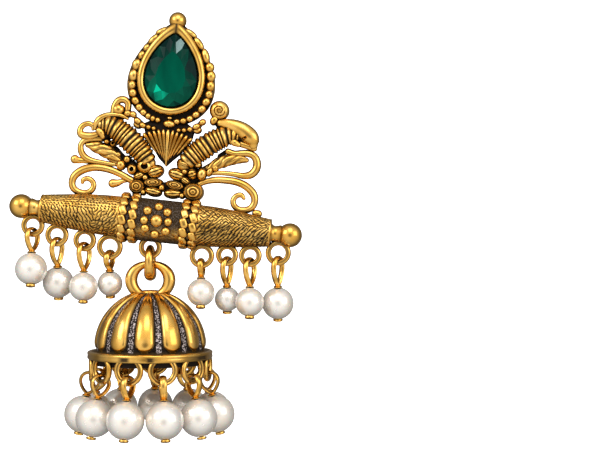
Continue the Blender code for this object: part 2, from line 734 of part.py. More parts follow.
def bar_drops(groups, looks):
    """The eight drops under the crossbar. Each hangs a small gap above its lug's bottom wire."""
    for number, row in enumerate(BAR_DROPS, 1):
        below = hook_below_lug(row["lug"] * LUG_RADIUS, LUG_WIRE_RADIUS)
        hook = head_matrix() @ (bar_lug_centre(row) - Vector((0.0, 0.0, below)))
        names = (f"bar_pearl_{number}", f"bar_pin_{number}")
        turn, lean = math.radians(row["turn"]), math.radians(row["lean"])
        pearl_radius = row["pearl"] * BAR_PEARL_RADIUS
        drop(names, hook, pearl_radius, row["fall"] * BAR_FALL - below, turn, lean, 0.0, groups, looks)


def bell_drops(groups, looks):
    """The eleven drops round the bell, splayed a little outward."""
    axis_foot = Vector((HANG_X, BAR_Y, bell_level()))
    for number, (turn, centre) in enumerate(bell_lug_places(), 1):
        below = hook_below_lug(BELL_LUG_RADIUS, BELL_LUG_WIRE_RADIUS)
        hook = axis_foot + centre - Vector((0.0, 0.0, below))
        names = (f"bell_pearl_{number:02d}", f"bell_pin_{number:02d}")
        fall = BELL_FALL - below
        drop(names, hook, BELL_PEARL_RADIUS, fall, BELL_DROP_TURN, BELL_DROP_SPLAY, turn, groups, looks)


def main():
    """Builds the earring."""
    clear_scene()
    groups = collection("jhumka_earring"), collection("cutters")
    gold = material("antique_gold", GOLD, 1.0, 0.3)
    pearl = material("pearl", PEARL, 0.0, 0.2)
    green = material("green_stone", GREEN, 0.0, 0.05)
    steel = material("post_metal", STEEL, 1.0, 0.3)
    crest_and_bar(groups, gold)
    pear_stone(groups, green)
    ear_post(groups, steel)
    hanging_link(groups, gold)
    bell(groups, gold)
    bar_drops(groups, (gold, pearl))
    bell_drops(groups, (gold, pearl))


main()
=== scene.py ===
"""Looks of an antique gold jhumka earring: crest with a green pear stone, crossbar, pearl drops and a bell.

Sizes are in millimetres. The head (crest and crossbar) is laid out in its own plane, u along the crossbar
and v up from its middle, and is then tipped about the ear post. The bell is laid out about its own axis.
"""
import json
import logging
import math
from collections.abc import Iterator
from dataclasses import dataclass, field
from enum import Enum

import bmesh
import bpy
import numpy as np
from mathutils import Matrix, Vector
from mathutils.bvhtree import BVHTree

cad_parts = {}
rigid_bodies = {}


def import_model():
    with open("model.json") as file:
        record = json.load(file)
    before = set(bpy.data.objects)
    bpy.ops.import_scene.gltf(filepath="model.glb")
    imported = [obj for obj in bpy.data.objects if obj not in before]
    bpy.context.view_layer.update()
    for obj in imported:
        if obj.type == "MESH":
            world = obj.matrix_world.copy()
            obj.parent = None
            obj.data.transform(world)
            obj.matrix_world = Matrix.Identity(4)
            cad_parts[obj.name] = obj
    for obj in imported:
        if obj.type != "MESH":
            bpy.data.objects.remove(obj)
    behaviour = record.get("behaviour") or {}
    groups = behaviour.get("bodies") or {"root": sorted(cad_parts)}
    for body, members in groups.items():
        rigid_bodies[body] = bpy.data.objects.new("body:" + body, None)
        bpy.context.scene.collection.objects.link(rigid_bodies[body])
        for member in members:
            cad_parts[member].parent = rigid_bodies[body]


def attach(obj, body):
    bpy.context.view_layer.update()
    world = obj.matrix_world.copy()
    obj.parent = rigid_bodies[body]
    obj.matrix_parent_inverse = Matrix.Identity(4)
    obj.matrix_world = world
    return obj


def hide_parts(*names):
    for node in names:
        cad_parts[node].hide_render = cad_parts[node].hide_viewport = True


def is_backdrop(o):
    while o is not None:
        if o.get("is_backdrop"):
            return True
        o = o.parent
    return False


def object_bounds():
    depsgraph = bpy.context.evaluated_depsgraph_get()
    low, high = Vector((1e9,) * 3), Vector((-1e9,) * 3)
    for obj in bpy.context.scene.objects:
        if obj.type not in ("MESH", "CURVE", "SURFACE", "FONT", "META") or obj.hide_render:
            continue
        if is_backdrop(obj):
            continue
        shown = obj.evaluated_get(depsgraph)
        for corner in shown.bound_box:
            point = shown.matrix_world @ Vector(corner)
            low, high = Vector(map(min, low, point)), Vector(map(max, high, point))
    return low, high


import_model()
CAD_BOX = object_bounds()

LOG = logging.getLogger("earring")
MM = 0.001
HEAD_TILT = math.radians(6.2)
POST_U = -0.41
POST_V = 23.61
BAR_Y = -1.8
HANG_X = -3.45
HEAD = Matrix.Rotation(HEAD_TILT, 4, "Y") @ Matrix.Translation((-POST_U, 0.0, -POST_V))
UPRIGHT = Matrix.Identity(4)
FULL_TURN = 2 * math.pi
# Sizes that two classes or more share: the crossbar's, the stone's and the pins'
BAR_LEFT = -19.0
BAR_RIGHT = 18.1
BAR_SHOULDER = 6.3
BAR_END_RADIUS = 2.2
NECK_RADIUS = 1.35
STONE_WIDTH = 8.5
STONE_BOTTOM = 18.2
STONE_TOP = 30.0
PIN_RADIUS = 0.27

Triple = tuple[float, float, float]
Rows = tuple[Triple, ...]
Shade = float | np.ndarray


class Body(Enum):
    """The moving bodies of the earring."""

    HEAD = "head"
    LINK = "link"
    BELL = "bell_group"


class Slot(Enum):
    """The record's material slots."""

    GOLD = "antique_gold"
    PEARL = "pearl"
    STONE = "green_stone"
    POST = "post_metal"


Socket = bpy.types.NodeSocket


class NodeBench:
    """Adds and links the nodes of one material, world or geometry tree."""

    def __init__(self, tree: bpy.types.NodeTree) -> None:
        """Starts on a tree.

        Args:
            tree: The node tree to work in.
        """
        self.tree = tree

    def add(self, kind: str, settings: dict | None = None, **inputs: object) -> bpy.types.Node:
        """Adds a node and fills its inputs.

        Args:
            kind: The node's type name.
            settings: Properties of the node itself.
            **inputs: Values or output sockets by input name, with underscores for spaces.

        Returns:
            The new node.
        """
        node = self.tree.nodes.new(kind)
        for name, value in (settings or {}).items():
            setattr(node, name, value)
        self.feed(node, **inputs)
        return node

    def feed(self, node: bpy.types.Node, **inputs: object) -> None:
        """Fills a node's inputs.

        Args:
            node: The node.
            **inputs: Values or output sockets by input name, with underscores for spaces.
        """
        for name, value in inputs.items():
            socket = self.find(node, name)
            if isinstance(value, Socket):
                self.tree.links.new(value, socket)
            else:
                socket.default_value = value

    @staticmethod
    def find(node: bpy.types.Node, name: str) -> Socket:
        """Finds an input by name, or by number as in "i2".

        Args:
            node: The node.
            name: The input's name with underscores for spaces, or i and its number.

        Returns:
            The input socket.
        """
        if name[0] == "i" and name[1:].isdigit():
            return node.inputs[int(name[1:])]
        plain = name.replace("_", " ")
        return next(s for s in node.inputs if s.name.lower() == plain.lower() and s.enabled)

    def attribute(self, name: str) -> Socket:
        """Reads a number that each vertex or face has of its own."""
        return self.add("ShaderNodeAttribute", {"attribute_name": name}).outputs["Fac"]

    def place(self) -> Socket:
        """Reads the place on the object, in metres."""
        return self.add("ShaderNodeTexCoord").outputs["Object"]

    def math(self, operation: str, first: object, second: object = 0.0, clamp: bool = False) -> Socket:
        """Adds a Math node.

        Args:
            operation: Its operation.
            first: Its first value or socket.
            second: Its second value or socket.
            clamp: Whether the result stays between 0 and 1.

        Returns:
            Its output.
        """
        settings = {"operation": operation, "use_clamp": clamp}
        return self.add("ShaderNodeMath", settings, i0=first, i1=second).outputs[0]

    def about_zero(self, value: Socket, share: float) -> Socket:
        """Scales a noise and moves it so that its middle lies at zero.

        Args:
            value: The noise, from 0 to 1.
            share: How much of it is kept.

        Returns:
            Its output.
        """
        found = self.math("MULTIPLY_ADD", value, share)
        found.node.inputs[2].default_value = -share / 2
        return found

    def mix(self, share: object, first: object, second: object) -> Socket:
        """Adds a colour mix.

        Args:
            share: How much of the second colour shows.
            first: The first colour or socket.
            second: The second colour or socket.

        Returns:
            Its colour output.
        """
        node = self.add("ShaderNodeMix", {"data_type": "RGBA"}, i0=share, i6=first, i7=second)
        return node.outputs[2]

    def span(self, value: object, low: float, high: float, to_low: float, to_high: float) -> Socket:
        """Maps a range onto another and clamps it.

        Args:
            value: The value or socket.
            low: The range's start.
            high: The range's end.
            to_low: What the start becomes.
            to_high: What the end becomes.

        Returns:
            Its output.
        """
        node = self.add("ShaderNodeMapRange", {}, i0=value, i1=low, i2=high, i3=to_low, i4=to_high)
        return node.outputs[0]

    def noise(self, scale: float, detail: float, place: object, roughness: float = 0.5) -> Socket:
        """Adds a noise.

        Args:
            scale: Repeats for each metre.
            detail: Octaves.
            place: The coordinates' socket.
            roughness: How strong the finer octaves are.

        Returns:
            Its value output.
        """
        sizes = {"Scale": scale, "Detail": detail, "Roughness": roughness}
        return self.add("ShaderNodeTexNoise", {}, Vector=place, **sizes).outputs["Fac"]


def turns_round(count: int) -> np.ndarray:
    """The angles of evenly spaced places all round, from 0."""
    return np.linspace(0.0, FULL_TURN, count, endpoint=False)


def shader_bench(name: str) -> tuple[bpy.types.Material, NodeBench, bpy.types.Node]:
    """Starts a material.

    Args:
        name: The material's name.

    Returns:
        The material, its bench and its Principled shader.
    """
    made = bpy.data.materials.new(name)
    made.use_nodes = True
    return made, NodeBench(made.node_tree), made.node_tree.nodes["Principled BSDF"]


@dataclass(frozen=True)
class AntiqueGold:
    """Polished gold, dark with oxide in its recesses; the same dark colour is also painted on as shade
    where a piece's stain layer holds it.
    """

    name: str
    bright: Triple = (0.81, 0.485, 0.125)
    warm: Triple = (0.66, 0.35, 0.062)
    patina: Triple = (0.010, 0.0055, 0.003)
    silver: Triple = (0.60, 0.51, 0.49)
    polish: float = 0.19
    dull: float = 0.52
    recess_from: float = 0.30
    recess_to: float = 0.58
    cloud_scale: float = 420.0
    grain_scale: float = 2600.0
    chip_scale: float = 5200.0
    grain_on_recess: float = 0.30
    grain_on_polish: float = 0.10

    def build(self) -> bpy.types.Material:
        """Makes the material.

        Returns:
            The material.
        """
        made, bench, shader = shader_bench(self.name)
        place = bench.place()
        recess = bench.attribute("recess")
        stain = bench.attribute("stain")
        speck = bench.attribute("speckle")
        cloudy = bench.noise(self.cloud_scale, 3.0, place)
        grain = bench.noise(self.grain_scale, 4.0, place, 0.65)
        depth = bench.math("ADD", recess, bench.about_zero(grain, self.grain_on_recess))
        covered = bench.span(depth, self.recess_from, self.recess_to, 0.0, 1.0)
        # Darkens to one colour for oxide in recesses and for painted shade
        dark = bench.math("MAXIMUM", covered, stain, clamp=True)
        gold = bench.mix(bench.span(cloudy, 0.35, 0.65, 0.0, 1.0), (*self.bright, 1.0), (*self.warm, 1.0))
        coloured = bench.mix(dark, gold, (*self.patina, 1.0))
        chips = bench.span(bench.noise(self.chip_scale, 2.0, place), 0.52, 0.59, 0.0, 1.0)
        shown = bench.math("MULTIPLY", chips, speck)
        final = bench.mix(shown, coloured, (*self.silver, 1.0))
        rough = bench.span(bench.about_zero(grain, self.grain_on_polish), 0.0, 1.0, self.polish, 1.0)
        worn = bench.math("MAXIMUM", rough, bench.span(dark, 0.1, 0.9, self.polish, self.dull))
        metal = bench.span(dark, 0.5, 1.0, 1.0, 0.4)
        gloss = bench.span(dark, 0.5, 1.0, 0.5, 0.12)
        bump = bench.add("ShaderNodeBump", {}, Strength=0.12, Distance=0.00005, Height=grain).outputs[0]
        bench.feed(
            shader, Base_Color=final, Roughness=worn, Metallic=metal, Specular_IOR_Level=gloss, Normal=bump
        )
        return made


@dataclass(frozen=True)
class PearlLustre:
    """Creamy pearl with a soft clear skin."""

    name: str = "pearl_lustre"
    cream: Triple = (0.81, 0.775, 0.725)
    peach: Triple = (0.80, 0.72, 0.62)
    roughness: float = 0.23

    def build(self) -> bpy.types.Material:
        """Makes the material.

        Returns:
            The material.
        """
        made, bench, shader = shader_bench(self.name)
        place = bench.place()
        cloudy = bench.noise(260.0, 2.0, place)
        tint = bench.mix(bench.span(cloudy, 0.42, 0.72, 0.0, 1.0), (*self.cream, 1.0), (*self.peach, 1.0))
        fine = bench.noise(1500.0, 3.0, place)
        rough = bench.span(fine, 0.3, 0.7, self.roughness - 0.05, self.roughness + 0.05)
        bump = bench.add("ShaderNodeBump", {}, Strength=0.05, Distance=0.00005, Height=fine).outputs[0]
        bench.feed(shader, Base_Color=tint, Roughness=rough, Metallic=0.40, Normal=bump)
        bench.feed(shader, Subsurface_Weight=0.15, Subsurface_Scale=0.0008)
        bench.feed(shader, Coat_Weight=0.55, Coat_Roughness=0.10)
        bench.feed(shader, Sheen_Weight=0.18, Sheen_Tint=(0.95, 0.78, 0.62, 1.0))
        return made


@dataclass(frozen=True)
class GreenStone:
    """Deep green cut stone with painted reflections. Each facet's tone stands for what it throws back from
    the facets behind it; the brightest facets turn to a painted teal flash, and one facet is painted
    greyish as a reflection.
    """

    name: str = "green_stone_cut"
    deep: Triple = (0.0, 0.012, 0.010)
    leaf: Triple = (0.0, 0.092, 0.052)
    flash: Triple = (0.0, 0.46, 0.27)
    slate: Triple = (0.17, 0.26, 0.25)
    flash_from: float = 0.75
    veil_share: float = 0.5

    def build(self) -> bpy.types.Material:
        """Makes the material.

        Returns:
            The material.
        """
        made, bench, shader = shader_bench(self.name)
        place = bench.place()
        tone = bench.attribute("tone")
        upright = bench.add("ShaderNodeMapping", {}, Vector=place, Scale=(1.0, 1.0, 0.3)).outputs[0]
        veil = bench.noise(560.0, 2.0, upright)
        depth = bench.about_zero(veil, self.veil_share)
        height = bench.add("ShaderNodeSeparateXYZ", {}, i0=place).outputs["Z"]
        # Painted light: the stone is lighter towards its bottom and darker towards its tip
        falling = bench.span(height, -0.005, 0.006, 0.15, -0.2)
        shade = bench.math("ADD", bench.math("ADD", tone, depth), falling)
        green = bench.mix(bench.span(shade, 0.0, 0.7, 0.0, 1.0), (*self.deep, 1.0), (*self.leaf, 1.0))
        # Painted reflections: the brightest facets flash teal, and the facet marked as a reflection turns
        # greyish
        lit = bench.mix(bench.span(shade, self.flash_from, 1.2, 0.0, 1.0), green, (*self.flash, 1.0))
        grey = bench.attribute("grey")
        final = bench.mix(grey, lit, (*self.slate, 1.0))
        rough = bench.span(bench.noise(1800.0, 2.0, place), 0.3, 0.7, 0.03, 0.07)
        bench.feed(shader, Base_Color=final, Roughness=rough, IOR=1.5, Specular_IOR_Level=0.05)
        return made


@dataclass(frozen=True)
class PostSteel:
    """Plain bright metal of the ear post."""

    name: str = "post_steel"
    colour: Triple = (0.62, 0.60, 0.55)

    def build(self) -> bpy.types.Material:
        """Makes the material.

        Returns:
            The material.
        """
        made, bench, shader = shader_bench(self.name)
        place = bench.place()
        drawn = bench.add("ShaderNodeMapping", {}, Vector=place, Scale=(1.0, 0.06, 1.0)).outputs[0]
        lines = bench.noise(5200.0, 3.0, drawn)
        tint = bench.mix(lines, (*self.colour, 1.0), (0.78, 0.74, 0.66, 1.0))
        rough = bench.span(lines, 0.2, 0.8, 0.18, 0.34)
        bench.feed(shader, Base_Color=tint, Roughness=rough, Metallic=1.0)
        return made


class Shape:
    """Gathers closed shells in millimetres into one mesh, with how dark and speckled each vertex is."""

    def __init__(self) -> None:
        """Starts empty."""
        self.points: list[np.ndarray] = []
        self.faces: list[list[int]] = []
        self.stains: list[np.ndarray] = []
        self.specks: list[np.ndarray] = []
        self.count = 0

    def add(
        self,
        points: np.ndarray,
        faces: list[list[int]],
        stain: Shade = 0.0,
        speck: Shade = 0.0,
        place: Matrix = UPRIGHT,
    ) -> None:
        """Adds one shell.

        Args:
            points: Its vertices, n by 3.
            faces: Its faces as lists of vertex numbers.
            stain: How dark each vertex is, from 0 to 1, as dark oxide and painted shade.
            speck: How much silver speckle each vertex shows, from 0 to 1.
            place: Carries the vertices to their place.
        """
        matrix = np.array(place)
        moved = points @ matrix[:3, :3].T + matrix[:3, 3]
        self.faces.extend([[number + self.count for number in face] for face in faces])
        self.points.append(moved)
        self.stains.append(np.broadcast_to(np.asarray(stain, float), len(points)))
        self.specks.append(np.broadcast_to(np.asarray(speck, float), len(points)))
        self.count += len(points)

    def loft(
        self,
        rings: np.ndarray,
        joined: bool = False,
        stain: Shade = 0.0,
        speck: Shade = 0.0,
        place: Matrix = UPRIGHT,
    ) -> None:
        """Adds a skin over closed rings, capped at both ends or joined end to end.

        Args:
            rings: The rings' points, rings by corners by 3.
            joined: Whether the last ring joins the first.
            stain: How dark each point is, as dark oxide and painted shade.
            speck: How speckled each point is.
            place: Carries the points to their place.
        """
        total, corners = rings.shape[:2]
        faces = []
        for row in range(total if joined else total - 1):
            here, there = row * corners, (row + 1) % total * corners
            for corner in range(corners):
                after = (corner + 1) % corners
                faces.append([here + corner, here + after, there + after, there + corner])
        if not joined:
            last = (total - 1) * corners
            faces.append(list(range(corners)))
            faces.append(list(range(last, last + corners)))
        shades = [np.asarray(given, float) for given in (stain, speck)]
        flat = [shade.reshape(-1) if shade.ndim == 2 else shade for shade in shades]
        self.add(rings.reshape(-1, 3), faces, *flat, place)

    def turned(
        self, profile: np.ndarray, steps: int, stain: Shade = 0.0, place: Matrix = UPRIGHT
    ) -> None:
        """Adds a solid of revolution about Z.

        Args:
            profile: Rows of radius and height from one end to the other.
            steps: Corners round it.
            stain: How dark it is, for each row or the whole, as dark oxide and painted shade.
            place: Carries it to its place.
        """
        turns = turns_round(steps)
        radius, height = profile[:, :1], profile[:, 1:2]
        level = np.broadcast_to(height, (len(profile), steps))
        rings = np.stack([radius * np.cos(turns), radius * np.sin(turns), level], axis=2)
        shades = np.asarray(stain, float)
        if shades.ndim == 1:
            shades = np.repeat(shades[:, None], steps, axis=1)
        self.loft(rings, stain=shades, place=place)

    def ball(
        self,
        centre: Triple,
        radius: float,
        squash: Triple = (1.0, 1.0, 1.0),
        steps: int = 20,
        stain: float = 0.0,
        boxy: float = 1.0,
        place: Matrix = UPRIGHT,
    ) -> None:
        """Adds a round or oval bead.

        Args:
            centre: Its middle.
            radius: Its radius.
            squash: Its size along each axis for one of its radius.
            steps: Corners round it.
            stain: How dark it is, as dark oxide and painted shade.
            boxy: Below 1 its sides flatten towards a rounded block's.
            place: Carries it to its place.
        """
        angles = np.linspace(0.02, math.pi - 0.02, steps // 2 + 1)
        turns = turns_round(steps)
        out, high = np.sin(angles)[:, None] ** boxy, np.cos(angles)[:, None]
        across, along = np.cos(turns), np.sin(turns)
        bent = [np.sign(part) * np.abs(part) ** boxy * out for part in (across, along)]
        level = np.broadcast_to(np.sign(high) * np.abs(high) ** boxy, (len(angles), steps))
        stretch = Matrix.Diagonal((*squash, 1.0))
        spot = place @ Matrix.Translation(centre) @ stretch
        self.loft(np.stack([*bent, level], axis=2) * radius, stain=stain, place=spot)

    def ring(
        self,
        hole: float,
        wires: Triple,
        count: int = 64,
        sides: int = 20,
        groove: float = 0.0,
        place: Matrix = UPRIGHT,
    ) -> None:
        """Adds a ring in the XZ plane about the middle of its hole.

        Args:
            hole: The hole's radius.
            wires: How thick it is at its top, sides and bottom.
            count: Sections round it.
            sides: Corners of a section.
            groove: Depth of the two grooves on its faces, as a share of its thickness.
            place: Carries it to its place.
        """
        top, side, bottom = wires
        turns = turns_round(count)
        end = np.where(np.cos(turns) > 0, top, bottom)
        thickness = side + (end - side) * np.cos(turns) ** 2
        section = turns_round(sides)
        dip = groove * sum(np.exp(-(((section - face) / 0.35) ** 2)) for face in (1.9, 4.38))
        half = thickness[:, None] / 2 * (1.0 - dip)
        reach = hole + thickness[:, None] / 2 + half * np.cos(section)
        depth = half * np.sin(section)
        rings = np.stack([reach * np.sin(turns)[:, None], depth, reach * np.cos(turns)[:, None]], axis=2)
        dark = np.broadcast_to(0.9 * (dip / max(groove, 0.01)) * (groove > 0), rings.shape[:2])
        self.loft(rings, joined=True, stain=dark, place=place)

    def mesh(self, name: str) -> bpy.types.Mesh:
        """Makes the mesh, with its shells' faces turned outwards.

        Args:
            name: The mesh's name.

        Returns:
            The mesh, still in millimetres.
        """
        made = bpy.data.meshes.new(name)
        made.from_pydata(np.concatenate(self.points).tolist(), [], self.faces)
        # Writes how dark each vertex is, as dark oxide and painted shade, and how speckled it is
        for label, rows in (("stain", self.stains), ("speckle", self.specks)):
            layer = made.attributes.new(label, "FLOAT", "POINT")
            layer.data.foreach_set("value", np.concatenate(rows).astype(np.float32))
        work = bmesh.new()
        work.from_mesh(made)
        bmesh.ops.recalc_face_normals(work, faces=work.faces)
        work.to_mesh(made)
        work.free()
        return made


def smooth_path(rows: list[tuple[float, ...]], step: float = 0.16) -> np.ndarray:
    """Runs a smooth line through rows of numbers whose first two are a place.

    Args:
        rows: The rows, such as (u, v, radius).
        step: How far apart the new rows are.

    Returns:
        The new rows.
    """
    given = np.array(rows, float)
    padded = np.vstack([2 * given[0] - given[1], given, 2 * given[-1] - given[-2]])
    found = []
    for i in range(1, len(padded) - 2):
        before, start, end, after = padded[i - 1 : i + 3]
        count = max(2, round(math.dist(start[:2], end[:2]) / step))
        for share in np.linspace(0.0, 1.0, count, endpoint=False):
            bend = 2 * before - 5 * start + 4 * end - after
            turn = -before + 3 * start - 3 * end + after
            found.append(start + 0.5 * share * ((end - before) + share * (bend + share * turn)))
    found.append(padded[-2])
    return np.array(found)


def tube_rings(path: np.ndarray, middle_y: float, depth: float, sides: int, rounded: int = 4) -> np.ndarray:
    """Rings of a tube with rounded ends along a line in the head's plane.

    Args:
        path: Rows of u, v and radius.
        middle_y: The line's Y.
        depth: The tube's half depth for a radius of one.
        sides: Corners of a ring.
        rounded: Rings in each rounded end.

    Returns:
        The rings' points.
    """
    along = np.gradient(path[:, :2], axis=0)
    along /= np.linalg.norm(along, axis=1)[:, None]
    lead = [math.cos(a) for a in np.linspace(0.0, math.pi / 2, rounded, endpoint=False)]
    rows = []
    for i in range(rounded):
        back = path[0, :2] - along[0] * path[0, 2] * lead[i]
        rows.append([*back, path[0, 2] * max(math.sqrt(1 - lead[i] ** 2), 0.03), *along[0]])
    rows += [[*row[:3], *way] for row, way in zip(path, along)]
    for share in reversed(lead):
        ahead = path[-1, :2] + along[-1] * path[-1, 2] * share
        rows.append([*ahead, path[-1, 2] * max(math.sqrt(1 - share**2), 0.03), *along[-1]])
    table = np.array(rows)
    angles = turns_round(sides)
    across = table[:, 2:3] * np.cos(angles)
    deep = table[:, 2:3] * np.sin(angles) * depth
    u = table[:, 0:1] - across * table[:, 4:5]
    v = table[:, 1:2] + across * table[:, 3:4]
    return np.stack([u, middle_y - deep, v], axis=2)


def pear_line(width: float, bottom: float, top: float, count: int, middle: float = POST_U) -> np.ndarray:
    """A pear outline that runs from its tip at the top round to the left.

    Args:
        width: Its width.
        bottom: Its lowest v.
        top: Its tip's v.
        count: How many points.
        middle: Its middle's u.

    Returns:
        Rows of u and v.
    """
    power = 0.6
    turns = turns_round(count)
    shape = np.sin(turns) * np.abs(np.sin(turns / 2)) ** power
    widest = math.acos(-power / (2 + power))
    most = math.sin(widest) * math.sin(widest / 2) ** power
    across = middle - width / 2 * shape / most
    return np.column_stack([across, bottom + (top - bottom) / 2 * (1 + np.cos(turns))])


Spot = tuple[Vector, Matrix, Triple]


class Repeater:
    """A Geometry Nodes tree that sets a shape on each point of a mesh, turned and sized by its values."""

    def __init__(self, finish: bpy.types.Material) -> None:
        """Builds the tree once, for every use.

        Args:
            finish: The material of all that is repeated.
        """
        self.finish = finish
        self.tree = bpy.data.node_groups.new("set_along_points", "GeometryNodeTree")
        face = self.tree.interface
        face.new_socket("Points", in_out="INPUT", socket_type="NodeSocketGeometry")
        self.ids = {}
        for label, kind in (
            ("Shape", "NodeSocketObject"),
            ("Size", "NodeSocketFloat"),
            ("Unevenness", "NodeSocketFloat"),
            ("Seed", "NodeSocketInt"),
            ("Finish", "NodeSocketMaterial"),
        ):
            self.ids[label] = face.new_socket(label, in_out="INPUT", socket_type=kind).identifier
        face.new_socket("Result", in_out="OUTPUT", socket_type="NodeSocketGeometry")
        bench = NodeBench(self.tree)
        start = bench.add("NodeGroupInput").outputs
        shape = bench.add("GeometryNodeObjectInfo", {}, Object=start["Shape"])
        named = {"data_type": "FLOAT_VECTOR"}
        turn = bench.add("GeometryNodeInputNamedAttribute", named, Name="turn").outputs[0]
        size = bench.add("GeometryNodeInputNamedAttribute", named, Name="size").outputs[0]
        spread = bench.add("FunctionNodeRandomValue", {"data_type": "FLOAT"}, Seed=start["Seed"])
        low = bench.math("SUBTRACT", 1.0, start["Unevenness"])
        high = bench.math("ADD", 1.0, start["Unevenness"])
        self.tree.links.new(low, spread.inputs[2])
        self.tree.links.new(high, spread.inputs[3])
        even = bench.math("MULTIPLY", spread.outputs[1], start["Size"])
        scaled = bench.add("ShaderNodeVectorMath", {"operation": "SCALE"}, i0=size, Scale=even).outputs[0]
        rotated = bench.add("FunctionNodeEulerToRotation", {}, i0=turn).outputs[0]
        placed = bench.add(
            "GeometryNodeInstanceOnPoints",
            {},
            Points=start["Points"],
            Instance=shape.outputs["Geometry"],
            Rotation=rotated,
            Scale=scaled,
        ).outputs[0]
        whole = bench.add("GeometryNodeRealizeInstances", {}, Geometry=placed).outputs[0]
        dressed = bench.add("GeometryNodeSetMaterial", {}, Geometry=whole, Material=start["Finish"])
        bench.add("NodeGroupOutput", {}, i0=dressed.outputs[0])

    def run(
        self, name: str, shape: Shape, places: list[Spot], unevenness: float = 0.0, seed: int = 1
    ) -> bpy.types.Mesh:
        """Repeats a shape.

        Args:
            name: The new mesh's name.
            shape: What is repeated, about its own origin.
            places: For each copy its place, its turn and its size along each axis.
            unevenness: How much the copies differ in size.
            seed: The random draw's seed.

        Returns:
            The copies as one mesh, in millimetres.
        """
        pattern = bpy.data.objects.new(f"{name}_pattern", shape.mesh(f"{name}_pattern"))
        points = bpy.data.meshes.new(f"{name}_points")
        points.from_pydata([tuple(place) for place, _, _ in places], [], [])
        turns = [component for _, turn, _ in places for component in turn.to_euler("XYZ")]
        sizes = [component for _, _, size in places for component in size]
        points.attributes.new("turn", "FLOAT_VECTOR", "POINT").data.foreach_set("vector", turns)
        points.attributes.new("size", "FLOAT_VECTOR", "POINT").data.foreach_set("vector", sizes)
        holder = bpy.data.objects.new(f"{name}_holder", points)
        for item in (pattern, holder):
            bpy.context.scene.collection.objects.link(item)
        modifier = holder.modifiers.new("set", "NODES")
        modifier.node_group = self.tree
        values = {"Shape": pattern, "Size": 1.0, "Unevenness": unevenness, "Seed": seed}
        for label, value in {**values, "Finish": self.finish}.items():
            modifier[self.ids[label]] = value
        bpy.context.view_layer.update()
        evaluated = holder.evaluated_get(bpy.context.evaluated_depsgraph_get())
        made = bpy.data.meshes.new_from_object(evaluated)
        for item in (holder, pattern):
            bpy.data.objects.remove(item)
        return made


